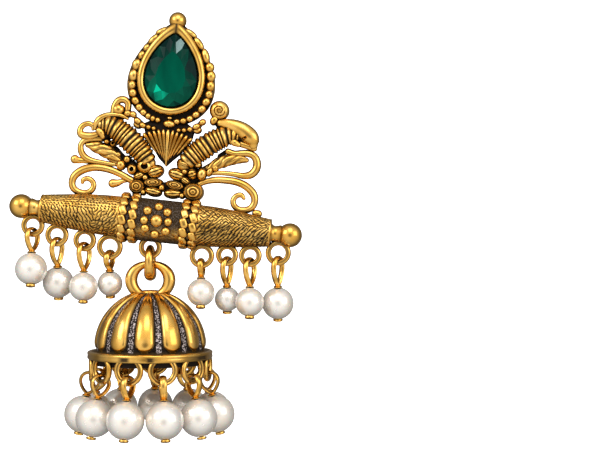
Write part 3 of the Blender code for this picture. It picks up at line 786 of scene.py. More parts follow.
class Jeweller:
    """Turns shapes into finished pieces, keeps the list of gold ones, and ages them."""

    def __init__(self) -> None:
        """Makes the finishes."""
        polished = AntiqueGold("antique_gold_polished", recess_from=0.6, recess_to=0.95, polish=0.2)
        self.finishes = {
            "gold": AntiqueGold("antique_gold_cast").build(),
            "polished": polished.build(),
            "pearl": PearlLustre().build(),
            "stone": GreenStone().build(),
            "post": PostSteel().build(),
        }
        self.repeater = Repeater(self.finishes["gold"])
        self.aged: dict[Body, list[bpy.types.Object]] = {body: [] for body in Body}

    def finish(self, built: "Piece") -> None:
        """Gives a built piece its finish and body, and keeps it for ageing if its slot is gold.

        Args:
            built: The piece.
        """
        mesh = built.form.mesh(built.name) if isinstance(built.form, Shape) else built.form
        mesh.transform(Matrix.Scale(MM, 4) @ built.place)
        mesh.materials.clear()
        mesh.materials.append(self.finishes[built.finish])
        mesh.shade_smooth()
        mesh.set_sharp_from_angle(angle=math.radians(built.crease))
        piece = bpy.data.objects.new(built.name, mesh)
        bpy.context.scene.collection.objects.link(piece)
        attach(piece, built.body.value)
        if built.stands_for:
            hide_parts(*built.stands_for)
        if built.slot is Slot.GOLD:
            self.aged[built.body].append(piece)
        LOG.info("%s: %d faces on %s", built.name, len(mesh.polygons), built.body.value)

    def age(self, reach: float = 1.3, rays: int = 14) -> None:
        """Writes on each gold vertex how closely other metal shuts it in, which is where the dark oxide
        stays.

        Args:
            reach: How near metal counts, in millimetres.
            rays: Directions tried at each vertex.
        """
        rays = rays
        steps = (np.arange(rays) + 0.5) / rays
        swirl = np.arange(rays) * math.pi * (3 - math.sqrt(5))
        flat = np.sqrt(steps)
        local = np.column_stack([flat * np.cos(swirl), flat * np.sin(swirl), np.sqrt(1 - steps * 0.96)])
        for body, pieces in self.aged.items():
            if not pieces:
                continue
            tree = self.solid_tree(pieces)
            for piece in pieces:
                shut = self.shut_in(piece.data, tree, local, reach * MM)
                layer = piece.data.attributes.new("recess", "FLOAT", "POINT")
                layer.data.foreach_set("value", shut.astype(np.float32))
            LOG.info("aged %d gold pieces on %s", len(pieces), body.value)

    @staticmethod
    def solid_tree(pieces: list[bpy.types.Object]) -> BVHTree:
        """Gathers pieces into one search tree.

        Args:
            pieces: The pieces.

        Returns:
            The tree.
        """
        corners: list[Triple] = []
        faces: list[list[int]] = []
        for piece in pieces:
            start = len(corners)
            co = np.empty(len(piece.data.vertices) * 3, np.float32)
            piece.data.vertices.foreach_get("co", co)
            corners.extend(map(tuple, co.reshape(-1, 3).tolist()))
            faces.extend([[start + number for number in face.vertices] for face in piece.data.polygons])
        return BVHTree.FromPolygons(corners, faces)

    @staticmethod
    def shut_in(mesh: bpy.types.Mesh, tree: BVHTree, local: np.ndarray, reach: float) -> np.ndarray:
        """Finds the share of directions that near metal blocks, for each vertex.

        Args:
            mesh: The mesh, in metres.
            tree: The metal round it.
            local: The directions, about +Z.
            reach: How near metal counts, in metres.

        Returns:
            The shares, evened out a little over neighbours.
        """
        count = len(mesh.vertices)
        co = np.empty(count * 3, np.float32)
        mesh.vertices.foreach_get("co", co)
        co = co.reshape(-1, 3).astype(float)
        normals = np.empty(count * 3, np.float32)
        mesh.vertex_normals.foreach_get("vector", normals)
        normals = normals.reshape(-1, 3).astype(float)
        helper = np.where(np.abs(normals[:, 2:3]) < 0.9, [[0.0, 0.0, 1.0]], [[1.0, 0.0, 0.0]])
        first = np.cross(helper, normals)
        first /= np.maximum(np.linalg.norm(first, axis=1)[:, None], 1e-9)
        second = np.cross(normals, first)
        starts = (co + normals * reach * 0.02).tolist()
        ways = (
            first[:, None] * local[None, :, 0:1]
            + second[:, None] * local[None, :, 1:2]
            + normals[:, None] * local[None, :, 2:3]
        ).tolist()
        cast = tree.ray_cast
        hits = [sum(cast(o, w, reach)[0] is not None for w in ws) for o, ws in zip(starts, ways)]
        share = np.array(hits, float) / len(local)
        ends = np.empty(len(mesh.edges) * 2, np.int32)
        mesh.edges.foreach_get("vertices", ends)
        one, other = ends.reshape(-1, 2).T
        degree = np.bincount(np.concatenate([one, other]), minlength=count) + 1.0
        for _ in range(2):
            total = share + np.bincount(one, share[other], count) + np.bincount(other, share[one], count)
            share = total / degree
        return share


@dataclass
class Piece:
    """A built piece that waits for its finish. Its form is in millimetres, before its place is applied."""

    name: str
    form: Shape | bpy.types.Mesh
    body: Body = Body.HEAD
    place: Matrix = HEAD
    finish: str = "gold"
    slot: Slot = Slot.GOLD
    stands_for: tuple[str, ...] = ()
    crease: float = 38.0


class SubAssembly:
    """What all the earring's sub-assemblies share: they build their pieces and dress them one by one."""

    def build(self, jeweller: Jeweller) -> Iterator[Piece]:
        """Builds the pieces in order. Each sub-assembly has its own."""
        raise NotImplementedError

    def dress(self, jeweller: Jeweller) -> None:
        """Gives each piece its finish as soon as it is built."""
        for piece in self.build(jeweller):
            jeweller.finish(piece)


@dataclass
class BezelAndBorder(SubAssembly):
    """The pear bezel on its ledge, the beads round it and the ball at its tip."""

    stone_width: float = STONE_WIDTH
    stone_bottom: float = STONE_BOTTOM
    stone_top: float = STONE_TOP
    wall: float = 1.2
    tip_growth: float = 1.6
    front: float = -2.9
    seat: float = -1.2
    ledge_front: float = -1.5
    border_reach: float = 0.95
    finial: Triple = (POST_U, -1.42, 32.2)
    finial_radius: float = 1.42
    bead_swell: tuple[float, float] = (1.14, 1.1)
    notch: float = 6.0
    steps: int = 160
    ledge_edge: float = 1.7
    bead_y: float = -1.72
    bead_depth: float = 0.7
    beads_middle: float = 22.4
    low_beads: float = 20.0
    low_turn: float = 1.5
    slope_from: float = 22.0
    slope: float = 0.4
    # The oval bead over the fan and the small one above it: place, size
    keystones: tuple[tuple[Triple, Triple], ...] = (
        ((0.02, -1.75, 15.6), (1.05, 0.85, 0.68)), ((0.0, -1.6, 16.55), (0.5, 0.6, 0.36)),
    )
    # Each bead: u, v, half width along the border, half width across it
    beads: tuple[tuple[float, float, float, float], ...] = (
        (-2.55, 30.3, 1.15, 0.52), (-3.85, 28.85, 1.1, 0.55), (-4.8, 27.35, 0.68, 0.6),
        (-5.45, 26.05, 0.75, 0.66), (-6.1, 24.5, 0.86, 0.78), (-6.45, 22.75, 0.92, 0.78),
        (-6.5, 21.2, 0.66, 0.66), (-6.25, 19.95, 0.66, 0.62), (-5.7, 18.75, 0.7, 0.6),
        (-5.0, 17.75, 0.58, 0.58), (-4.25, 17.0, 0.55, 0.55), (-3.45, 16.5, 0.46, 0.52),
        (-2.65, 16.2, 0.42, 0.5), (-1.85, 16.05, 0.45, 0.48), (1.2, 16.1, 0.5, 0.48),
        (2.2, 16.35, 0.54, 0.5), (3.2, 16.8, 0.54, 0.52), (4.1, 17.55, 0.6, 0.54),
        (4.95, 18.55, 0.64, 0.58), (5.5, 19.75, 0.7, 0.6), (5.85, 21.0, 0.66, 0.62),
        (5.95, 22.35, 0.75, 0.68), (5.85, 23.9, 0.86, 0.74), (5.5, 25.3, 0.74, 0.7),
        (4.65, 27.0, 1.15, 0.6), (3.35, 28.9, 1.15, 0.56), (1.85, 30.4, 1.1, 0.5), (-5.85, 16.5, 0.52, 0.5),
        (-5.05, 15.55, 0.62, 0.5), (-4.15, 14.95, 0.55, 0.46), (5.3, 16.45, 0.55, 0.5),
        (4.4, 15.65, 0.65, 0.48), (3.4, 15.1, 0.45, 0.45), (2.5, 14.85, 0.4, 0.42),
        (1.65, 14.75, 0.38, 0.38), (-3.2, 14.75, 0.42, 0.42), (-2.35, 14.65, 0.38, 0.38),
    )

    def outline(self, reach: float) -> np.ndarray:
        """A pear line a reach outside the stone's edge. Outside the bezel its tip stays behind the finial.

        Args:
            reach: How far outside.

        Returns:
            Rows of u and v.
        """
        tip = self.stone_top + self.tip_growth * min(reach, self.wall)
        beyond = max(reach - self.wall, 0.0) / (self.ledge_edge * self.border_reach)
        tip += (self.finial[2] - tip) * beyond
        return pear_line(self.stone_width + 2 * reach, self.stone_bottom - reach, tip, self.steps)

    def skin(self, rows: list[tuple[float, float]]) -> np.ndarray:
        """Rings of the pear outline at rows of reach and Y.

        Args:
            rows: The reach outside the stone and the Y of each ring.

        Returns:
            The rings' points.
        """
        rings = []
        for reach, y in rows:
            line = self.outline(reach)
            rings.append(np.column_stack([line[:, 0], np.full(len(line), y), line[:, 1]]))
        return np.array(rings)

    def setting(self) -> Shape:
        """The ledge, the rounded bezel and the finial.

        Returns:
            The shape.
        """
        made = Shape()
        edge = self.wall + self.ledge_edge * self.border_reach
        front = self.ledge_front
        ledge = [(0.0, 0.0), (edge - 0.1, 0.0), (edge, -0.15), (edge, front + 0.35), (edge - 0.22, front)]
        ledge += [(edge - 0.45, front + 0.12), (self.wall, front + 0.1), (0.0, front + 0.1)]
        shade = [0.6, 0.1, 0.0, 0.0, 0.1, 0.85, 0.95, 0.95]
        rings = self.skin(ledge)
        made.loft(rings, stain=np.repeat(np.array(shade)[:, None], self.steps, axis=1))
        angles = np.linspace(0.0, math.pi, 9)
        half = self.wall / 2
        lip_y = self.front + half
        band = [(half - half * math.cos(a), lip_y - half * 0.95 * math.sin(a)) for a in angles]
        rows = [(-0.02, self.seat), *band, (self.wall + 0.12, front + 0.2), (self.wall, self.seat)]
        shade = np.array([0.9] + [0.75] + [0.0] * 8 + [0.85, 0.9])[:, None]
        from_tip = np.minimum(np.arange(self.steps), self.steps - np.arange(self.steps))
        meeting = np.exp(-((from_tip / self.notch) ** 2))[None, :]
        made.loft(self.skin(rows), joined=True, stain=np.maximum(shade, meeting))
        # Painted shade: the seat inside the bezel is dark all over, in the gap round the stone
        inside = [(-0.02, self.seat + 0.6), (0.4, self.seat), (-0.02, self.seat - 0.05)]
        made.loft(self.skin(inside), stain=0.9)
        made.ball(self.finial, self.finial_radius, steps=48)
        return made

    def build(self, jeweller: Jeweller) -> Iterator[Piece]:
        """Makes the setting and its beads.

        Args:
            jeweller: Who repeats shapes.

        Returns:
            The pieces.
        """
        yield Piece("crest_setting", self.setting(), stands_for=("crest_and_bar",), crease=30.0)
        bead = Shape()
        bead.ball((0.0, 0.0, 0.0), 1.0, steps=22)
        places = []
        middle = Vector((POST_U, 0.0, self.beads_middle))
        for u, v, along, across in self.beads:
            place = Vector((u, self.bead_y, v))
            out = place - middle
            if v < self.low_beads:
                out.z -= self.low_turn
            angle = math.atan2(out.x, out.z)
            slope = self.slope * math.sin(2 * angle) if v > self.slope_from else 0.0
            size = (self.bead_swell[0] * along, self.bead_depth, self.bead_swell[1] * across)
            places.append((place, Matrix.Rotation(angle + slope, 4, "Y"), size))
        places += [(Vector(spot), UPRIGHT, size) for spot, size in self.keystones]
        yield Piece("border_beads", jeweller.repeater.run("border_beads", bead, places, 0.03, 7))


@dataclass
class ShellFan(SubAssembly):
    """The shell under the bezel: long rays that run down to one tip."""

    top: tuple[float, float] = (0.0, 14.5)
    tip: tuple[float, float] = (0.22, 8.75)
    rays: int = 11
    spacing: float = 0.76
    arch: float = 0.035
    shortening: float = 0.085
    half: float = 0.35
    y: float = -1.8
    # The tongue's border: u, v
    border: tuple[tuple[float, float], ...] = (
        (-4.2, 15.3), (-3.6, 13.4), (-2.6, 12.1), (-1.9, 11.1), (-1.1, 10.0), (0.2, 8.8), (1.1, 9.8),
        (2.1, 10.8), (3.1, 12.0), (3.9, 13.5), (4.2, 15.2), (2.6, 16.2), (-2.6, 16.2),
    )
    # A ray's radius and height, for a half width and a length of one
    profile: tuple[tuple[float, float], ...] = (
        (0.05, 0.035), (0.55, 0.03), (0.88, -0.02), (1.0, -0.12), (1.0, -0.3), (0.88, -0.52), (0.68, -0.72),
        (0.46, -0.87), (0.25, -0.96), (0.04, -1.0),
    )

    def build(self, jeweller: Jeweller) -> Iterator[Piece]:
        """Makes the fan.

        Args:
            jeweller: Who repeats shapes.

        Returns:
            The pieces.
        """
        tongue = Shape()
        line = np.array(self.border)
        middle = line.mean(axis=0)
        rings = []
        for share, y in ((0.94, 0.0), (1.0, -0.25), (1.0, -1.2), (0.95, -1.45), (0.8, -1.6)):
            flat = middle + (line - middle) * share
            rings.append(np.column_stack([flat[:, 0], np.full(len(flat), y), flat[:, 1]]))
        # Painted shade: the tongue behind the rays is dark all over, for the gaps between them
        tongue.loft(np.array(rings), stain=0.9)
        yield Piece("fan_back", tongue)
        ray = Shape()
        ray.turned(np.array(self.profile), 14)
        places = []
        for number in range(self.rays):
            aside = number - (self.rays - 1) / 2
            start = Vector((self.top[0] + self.spacing * aside, self.y, self.top[1] - self.arch * aside**2))
            whole = Vector((self.tip[0], self.y, self.tip[1])) - start
            run = whole * (1.0 - self.shortening * abs(aside))
            angle = math.atan2(-run.x, -run.z)
            half = self.half * (1.15 if aside == 0 else 1.0)
            places.append((start, Matrix.Rotation(angle, 4, "Y"), (half, 0.65, run.length)))
        yield Piece("fan_rays", jeweller.repeater.run("fan_rays", ray, places))


@dataclass
class Creatures(SubAssembly):
    """The two ribbed beasts that back onto the fan, with the bands and leaves about them."""

    rib_pitch: float = 0.66
    rib_depth: float = 0.27
    plump: float = 1.2
    body_y: float = -1.5
    vein_slant: float = 0.19
    body_depth: float = 0.88
    body_sides: int = 40
    band_sides: int = 20
    leaf_y: float = -1.2
    leaf_depth: float = 0.95
    leaf_sides: int = 48
    # Body lines: u, v and half width
    left_body: Rows = (
        (-10.7, 14.35, 1.1), (-9.6, 14.35, 1.6), (-8.3, 13.9, 1.9), (-6.8, 13.0, 2.0), (-5.4, 11.95, 2.0),
        (-4.2, 10.95, 1.9), (-3.2, 10.0, 1.6), (-2.4, 9.1, 1.2),
    )
    right_body: Rows = (
        (11.4, 14.75, 0.95), (10.3, 14.85, 1.35), (9.0, 14.5, 1.75), (7.6, 13.75, 1.9), (6.3, 12.75, 1.95),
        (5.1, 11.7, 1.95), (4.0, 10.6, 1.75), (3.1, 9.5, 1.3),
    )
    # Smooth bands: Y of the middle, half depth for a half width of one, rows of u, v, half width.
    # Left: brow, muzzle, lip, C, spur, lower scroll, bud, snail. Right: brow, jaw, lip, C, lower, snout.
    bands: tuple[tuple[float, float, Rows], ...] = (
        (-1.6, 1.3, (
            (-11.7, 13.6, 0.25), (-11.65, 14.4, 0.42), (-11.1, 15.25, 0.48), (-10.1, 15.9, 0.42),
            (-8.9, 16.15, 0.36), (-7.7, 16.1, 0.3), (-6.7, 15.75, 0.2),
        )),
        (-1.5, 1.25, (
            (-10.3, 13.45, 0.3), (-10.9, 12.95, 0.45), (-11.9, 12.45, 0.52), (-13.0, 12.3, 0.55),
            (-13.9, 12.5, 0.5), (-14.05, 13.3, 0.42), (-13.6, 14.0, 0.4), (-12.8, 14.3, 0.38),
            (-12.1, 14.0, 0.34), (-12.05, 13.5, 0.24),
        )),
        (-2.0, 1.1, (
            (-11.0, 13.35, 0.42), (-10.6, 13.0, 0.5), (-10.3, 12.45, 0.34),
        )),
        (-1.25, 1.3, (
            (-6.9, 8.35, 0.24), (-8.3, 8.25, 0.3), (-10.0, 8.35, 0.34), (-11.5, 8.45, 0.4),
            (-12.7, 8.8, 0.46), (-13.5, 9.6, 0.46), (-13.75, 10.6, 0.42), (-13.4, 11.4, 0.42),
            (-12.6, 11.85, 0.45), (-11.5, 12.05, 0.5), (-10.4, 12.25, 0.5), (-9.6, 12.9, 0.5),
        )),
        (-1.2, 1.1, (
            (-14.45, 8.4, 0.62), (-13.8, 8.3, 0.45), (-12.9, 8.3, 0.36), (-11.4, 8.1, 0.2),
        )),
        (-1.2, 1.25, (
            (-4.4, 5.75, 0.5), (-5.5, 6.2, 0.5), (-7.0, 6.85, 0.48), (-8.5, 7.3, 0.5), (-10.0, 7.5, 0.52),
            (-11.5, 7.4, 0.54), (-13.0, 6.85, 0.56), (-14.15, 5.85, 0.54), (-14.5, 4.75, 0.5),
            (-14.2, 3.8, 0.48), (-13.3, 3.25, 0.46), (-12.1, 3.2, 0.44), (-11.25, 3.75, 0.42),
            (-11.0, 4.6, 0.4), (-11.4, 5.3, 0.38), (-12.15, 5.55, 0.36), (-12.75, 5.25, 0.34),
            (-12.85, 4.85, 0.26),
        )),
        (-1.15, 1.1, (
            (-8.0, 5.2, 0.62), (-7.3, 5.35, 0.5), (-6.4, 5.75, 0.32), (-5.4, 6.0, 0.25),
        )),
        (-1.3, 1.4, (
            (-9.0, 15.8, 0.5), (-9.05, 16.6, 0.5), (-9.0, 17.6, 0.48), (-8.5, 18.5, 0.5),
            (-7.7, 18.75, 0.5), (-6.95, 18.3, 0.48), (-6.85, 17.3, 0.46), (-6.9, 16.4, 0.4),
        )),
        (-1.7, 0.95, (
            (8.2, 16.65, 0.5), (9.3, 16.6, 0.75), (10.7, 16.3, 0.98), (12.0, 15.75, 1.12),
            (13.1, 14.95, 1.15), (13.6, 14.2, 0.95), (13.75, 13.7, 0.65),
        )),
        (-1.6, 1.1, (
            (10.9, 13.65, 0.4), (11.8, 13.65, 0.45), (12.9, 13.45, 0.45), (14.0, 13.2, 0.42),
        )),
        (-2.0, 1.1, (
            (10.3, 13.9, 0.4), (10.8, 13.75, 0.5), (11.4, 13.5, 0.35),
        )),
        (-1.25, 1.3, (
            (6.9, 8.2, 0.25), (8.0, 8.6, 0.3), (9.5, 8.75, 0.33), (11.2, 8.75, 0.36), (12.7, 8.65, 0.45),
            (13.9, 9.0, 0.55), (14.6, 9.9, 0.58), (14.65, 11.0, 0.56), (14.1, 11.95, 0.52),
            (13.1, 12.3, 0.5), (12.0, 12.2, 0.48), (10.9, 12.05, 0.45), (9.8, 12.3, 0.42),
        )),
        (-1.2, 1.25, (
            (5.3, 6.2, 0.35), (6.6, 7.0, 0.4), (8.2, 7.5, 0.46), (10.0, 7.65, 0.5), (11.8, 7.55, 0.52),
            (13.4, 7.0, 0.54), (14.6, 5.95, 0.54), (14.95, 4.8, 0.5), (14.6, 3.8, 0.48),
            (13.75, 3.25, 0.46), (12.6, 3.2, 0.44), (11.75, 3.75, 0.42), (11.5, 4.6, 0.4),
            (11.95, 5.35, 0.38), (12.7, 5.55, 0.36), (13.15, 5.1, 0.26),
        )),
        (-1.2, 1.0, (
            (15.3, 2.9, 0.5), (15.75, 2.85, 0.52),
        )),
    )
    # Veined leaves: rows of u, v, half width
    leaves: tuple[Rows, ...] = (
        ((-12.6, 10.9, 0.5), (-11.7, 10.8, 0.9), (-10.4, 10.5, 1.1), (-9.1, 10.0, 1.15), (-8.0, 9.3, 0.95),
         (-7.2, 8.7, 0.6)),
        ((12.9, 11.2, 0.45), (11.9, 11.25, 0.75), (10.6, 11.05, 0.95), (9.3, 10.6, 1.05), (8.2, 10.0, 0.95),
         (7.1, 9.2, 0.7)),
    )

    def ribbed(self, rows: Rows) -> Shape:
        """A tube whose width swells at each rib.

        Args:
            rows: The body's line.

        Returns:
            The shape.
        """
        pitch = self.rib_pitch
        path = smooth_path(list(rows), 0.055)
        steps = np.hypot(*np.diff(path[:, :2], axis=0).T)
        travelled = np.concatenate([[0.0], np.cumsum(steps)])
        uneven = travelled + 0.22 * pitch * np.sin(travelled * 1.7) + 0.12 * pitch * np.sin(travelled * 4.3)
        crest = np.abs(np.sin(math.pi * uneven / pitch)) ** 1.2
        path[:, 2] -= self.rib_depth * (1.0 - crest)
        rings = tube_rings(path, self.body_y, self.body_depth, self.body_sides)
        ends = (len(rings) - len(path)) // 2
        groove = np.concatenate([np.zeros(ends), np.clip(1.6 - 1.9 * crest, 0.0, 1.0), np.zeros(ends)])
        made = Shape()
        made.loft(rings, stain=np.repeat(groove[:, None], self.body_sides, axis=1))
        return made

    def build(self, jeweller: Jeweller) -> Iterator[Piece]:
        """Makes the beasts, the bands and the leaves.

        Args:
            jeweller: Who repeats shapes; not used here.

        Returns:
            The pieces.
        """
        for name, rows in (("left_beast", self.left_body), ("right_beast", self.right_body)):
            yield Piece(name, self.ribbed(rows))
        bands = Shape()
        for middle_y, depth, rows in self.bands:
            path = smooth_path(list(rows))
            path[:, 2] *= self.plump
            bands.loft(tube_rings(path, middle_y, depth / self.plump, self.band_sides))
        yield Piece("scroll_bands", bands)
        leaves = Shape()
        for rows in self.leaves:
            path = smooth_path(list(rows), 0.1)
            rings = tube_rings(path, self.leaf_y, self.leaf_depth, self.leaf_sides)
            around = turns_round(self.leaf_sides)
            along = np.arange(len(rings))[:, None]
            waver = 0.4 * np.sin(along * 0.3)
            vein = np.abs(np.sin(around[None, :] * 2.5 + along * self.vein_slant + waver)) ** 0.7
            middle = rings.mean(axis=1, keepdims=True)
            rings = middle + (rings - middle) * (0.8 + 0.2 * vein)[:, :, None]
            leaves.loft(rings, stain=(1 - vein) ** 1.1)
        yield Piece("veined_leaves", leaves)


class Engraving(Enum):
    """What is cut into a domed boss."""

    PLAIN = "plain"
    RINGS = "rings"
    SPIRAL = "spiral"
    SLITS = "slits"
    HOLLOW = "hollow"


PLAIN, RINGS, SPIRAL, SLITS, HOLLOW = Engraving


@dataclass
class Bosses(SubAssembly):
    """The domed bosses, small rings and curls between the beasts and the crossbar."""

    # u, v, half width, half height, rise, tilt in degrees, engraving
    domes: tuple[tuple[float, float, float, float, float, float, Engraving], ...] = (
        (-8.35, 17.05, 0.95, 0.85, 1.0, 0.0, PLAIN), (-6.75, 16.6, 0.65, 0.55, 0.9, 0.0, PLAIN),
        (7.75, 18.65, 1.45, 1.45, 1.1, 0.0, SPIRAL), (7.1, 17.0, 0.6, 0.8, 0.8, 30.0, PLAIN),
        (-7.0, 8.3, 0.72, 0.8, 1.0, 0.0, PLAIN), (-5.15, 7.8, 0.78, 0.85, 1.1, 0.0, HOLLOW),
        (-3.15, 8.5, 1.25, 1.15, 1.3, 0.0, HOLLOW), (-1.35, 7.85, 1.25, 1.0, 1.3, -25.0, SLITS),
        (-1.55, 6.05, 1.45, 0.68, 1.2, -6.0, RINGS), (-1.4, 4.6, 1.3, 0.78, 1.0, 8.0, SLITS),
        (-4.1, 5.15, 1.2, 1.1, 1.3, 0.0, RINGS), (2.05, 7.75, 1.3, 0.95, 1.3, 12.0, SLITS),
        (1.95, 6.0, 1.4, 0.7, 1.2, 6.0, RINGS), (1.75, 4.6, 1.35, 0.8, 1.0, -6.0, SLITS),
        (5.0, 5.2, 1.55, 1.4, 1.4, 0.0, RINGS), (4.5, 8.1, 0.75, 0.95, 1.1, -25.0, SLITS),
        (6.05, 8.2, 0.75, 1.0, 1.1, 10.0, PLAIN), (7.25, 8.75, 0.5, 0.8, 1.0, 20.0, PLAIN),
        (3.0, 9.5, 1.1, 0.55, 1.5, 10.0, SLITS), (-9.6, 11.75, 0.5, 0.4, 1.0, 0.0, PLAIN),
        (12.35, 14.75, 0.55, 0.4, 1.85, -30.0, HOLLOW), (-5.0, 15.0, 0.7, 0.6, 0.6, 0.0, PLAIN),
        (4.5, 15.2, 0.7, 0.6, 0.6, 0.0, PLAIN), (-8.6, 11.6, 0.5, 0.55, 0.9, 0.0, HOLLOW),
        (-3.9, 6.9, 0.9, 0.6, 1.0, -30.0, SLITS), (-6.1, 9.3, 0.55, 0.6, 0.8, 20.0, PLAIN),
        (-2.9, 6.7, 0.5, 0.5, 0.9, 0.0, PLAIN), (3.55, 6.9, 0.85, 0.6, 1.0, 30.0, SLITS),
        (5.3, 9.6, 0.6, 0.5, 0.9, -20.0, PLAIN), (-0.1, 5.35, 0.5, 0.55, 0.8, 0.0, PLAIN),
        (-7.6, 9.9, 0.5, 0.45, 0.7, 0.0, PLAIN), (3.3, 8.3, 0.55, 0.5, 1.2, 0.0, PLAIN),
        (8.1, 9.4, 0.5, 0.6, 0.8, 15.0, PLAIN), (-3.0, 4.3, 0.45, 0.5, 0.8, 0.0, PLAIN),
        (3.25, 4.4, 0.45, 0.5, 0.8, 0.0, PLAIN),
    )
    swell: float = 1.1
    base_y: float = -1.25
    web_y: float = -0.75
    web_depth: float = 0.38
    web_share: float = 0.88
    web_sides: int = 16
    corners: int = 40
    # Low webs that tie the open work together, painted dark all over as shade in its gaps: rows of u, v,
    # half width
    webs: tuple[Rows, ...] = (
        ((-8.2, 10.5, 0.8), (-7.0, 9.3, 0.9), (-5.6, 8.6, 1.0), (-4.0, 7.4, 1.2), (-2.4, 6.4, 1.4)),
        ((-4.6, 5.0, 0.7), (-3.0, 5.4, 1.2), (-1.4, 5.3, 1.4), (-0.2, 5.5, 1.0)),
        ((8.4, 10.4, 0.8), (7.2, 9.4, 0.8), (6.0, 8.4, 1.0), (4.6, 7.4, 1.2), (2.8, 6.4, 1.4)),
        ((5.4, 5.0, 0.9), (3.6, 5.4, 1.3), (1.8, 5.3, 1.4), (0.5, 5.5, 1.0)),
        ((-8.6, 15.6, 0.6), (-7.6, 16.3, 0.8), (-6.6, 16.6, 0.7)), ((8.4, 15.8, 0.7), (7.6, 17.0, 0.8)),
        ((-9.8, 12.5, 0.4), (-9.2, 11.6, 0.4), (-8.5, 10.8, 0.5)), ((-4.2, 9.6, 0.8), (-2.6, 8.6, 0.9)),
        ((9.4, 12.2, 0.35), (8.6, 11.4, 0.5)), ((4.6, 9.4, 0.9), (3.2, 8.4, 1.0), (2.2, 7.6, 0.9)),
        ((-4.2, 3.4, 0.6), (-4.2, 5.0, 0.8)), ((4.9, 3.5, 0.7), (4.9, 5.0, 0.9)),
        ((-5.4, 15.9, 0.5), (-4.6, 15.1, 0.7)), ((4.9, 16.2, 0.5), (4.3, 15.2, 0.7)),
    )

    @staticmethod
    def relief(kind: Engraving, share: np.ndarray, turn: np.ndarray) -> np.ndarray:
        """How deep the engraving is at each place of a boss, from 0 to 1.

        Args:
            kind: The engraving.
            share: How far out each place is, from 0 to 1.
            turn: Its angle.

        Returns:
            The depths.
        """
        if kind is RINGS:
            inner = np.exp(-(((share - 0.32) / 0.07) ** 2))
            return np.maximum(inner, np.exp(-(((share - 0.66) / 0.07) ** 2)))
        if kind is SPIRAL:
            wave = np.cos(FULL_TURN * (share * 3.2 - turn / FULL_TURN))
            return np.where(share < 0.62, np.clip(wave, 0.0, 1.0) ** 1.5, 0.0) * 0.8
        if kind is SLITS:
            across = share * np.sin(turn)
            return ((np.abs(np.sin(across * 7.0)) < 0.38) & (share < 0.85)).astype(float)
        if kind is HOLLOW:
            return np.clip((0.42 - share) / 0.14, 0.0, 1.0)
        return np.zeros_like(share)

    def dome(
        self, shape: Shape, place: tuple[float, float], half: tuple[float, float], rise: float, tilt: float,
        kind: Engraving,
    ) -> None:
        """Adds one boss.

        Args:
            shape: The shape that it is added to.
            place: Its middle's u and v.
            half: Its half width and half height.
            rise: How far its top stands before the open work's middle plane.
            tilt: How far it leans, in degrees.
            kind: What is engraved on it.
        """
        shares = np.concatenate([np.linspace(0.01, 0.9, 22), [0.95, 0.985, 1.0]])
        turns = turns_round(self.corners)
        share, turn = np.meshgrid(shares, turns, indexing="ij")
        cut = self.relief(kind, share, turn)
        deep = {HOLLOW: 0.9, PLAIN: 0.0}.get(kind, 0.22)
        front = self.base_y - rise * np.sqrt(np.clip(1.0 - share**2.4, 0.0, 1.0)) + deep * cut
        rings = np.stack([half[0] * share * np.cos(turn), front, half[1] * share * np.sin(turn)], axis=2)
        back = rings[-1:].copy()
        back[:, :, 1] = -0.15
        inner = back * np.array([0.6, 1.0, 0.6])
        whole = np.concatenate([rings, back, inner])
        dark = np.concatenate([0.9 * cut, np.zeros((2, self.corners))])
        spot = Matrix.Translation((place[0], 0.0, place[1])) @ Matrix.Rotation(math.radians(tilt), 4, "Y")
        shape.loft(whole, stain=dark, place=spot)

    def build(self, jeweller: Jeweller) -> Iterator[Piece]:
        """Makes the bosses and the webs behind them.

        Args:
            jeweller: Who repeats shapes; not used here.

        Returns:
            The pieces.
        """
        made = Shape()
        for u, v, wide, high, rise, tilt, kind in self.domes:
            self.dome(made, (u, v), (self.swell * wide, self.swell * high), rise, tilt, kind)
        yield Piece("engraved_bosses", made)
        webs = Shape()
        for rows in self.webs:
            path = smooth_path(list(rows))
            path[:, 2] *= self.web_share
            # Painted shade: the webs are dark all over
            webs.loft(tube_rings(path, self.web_y, self.web_depth, self.web_sides), stain=1.0)
        yield Piece("crest_webs", webs)


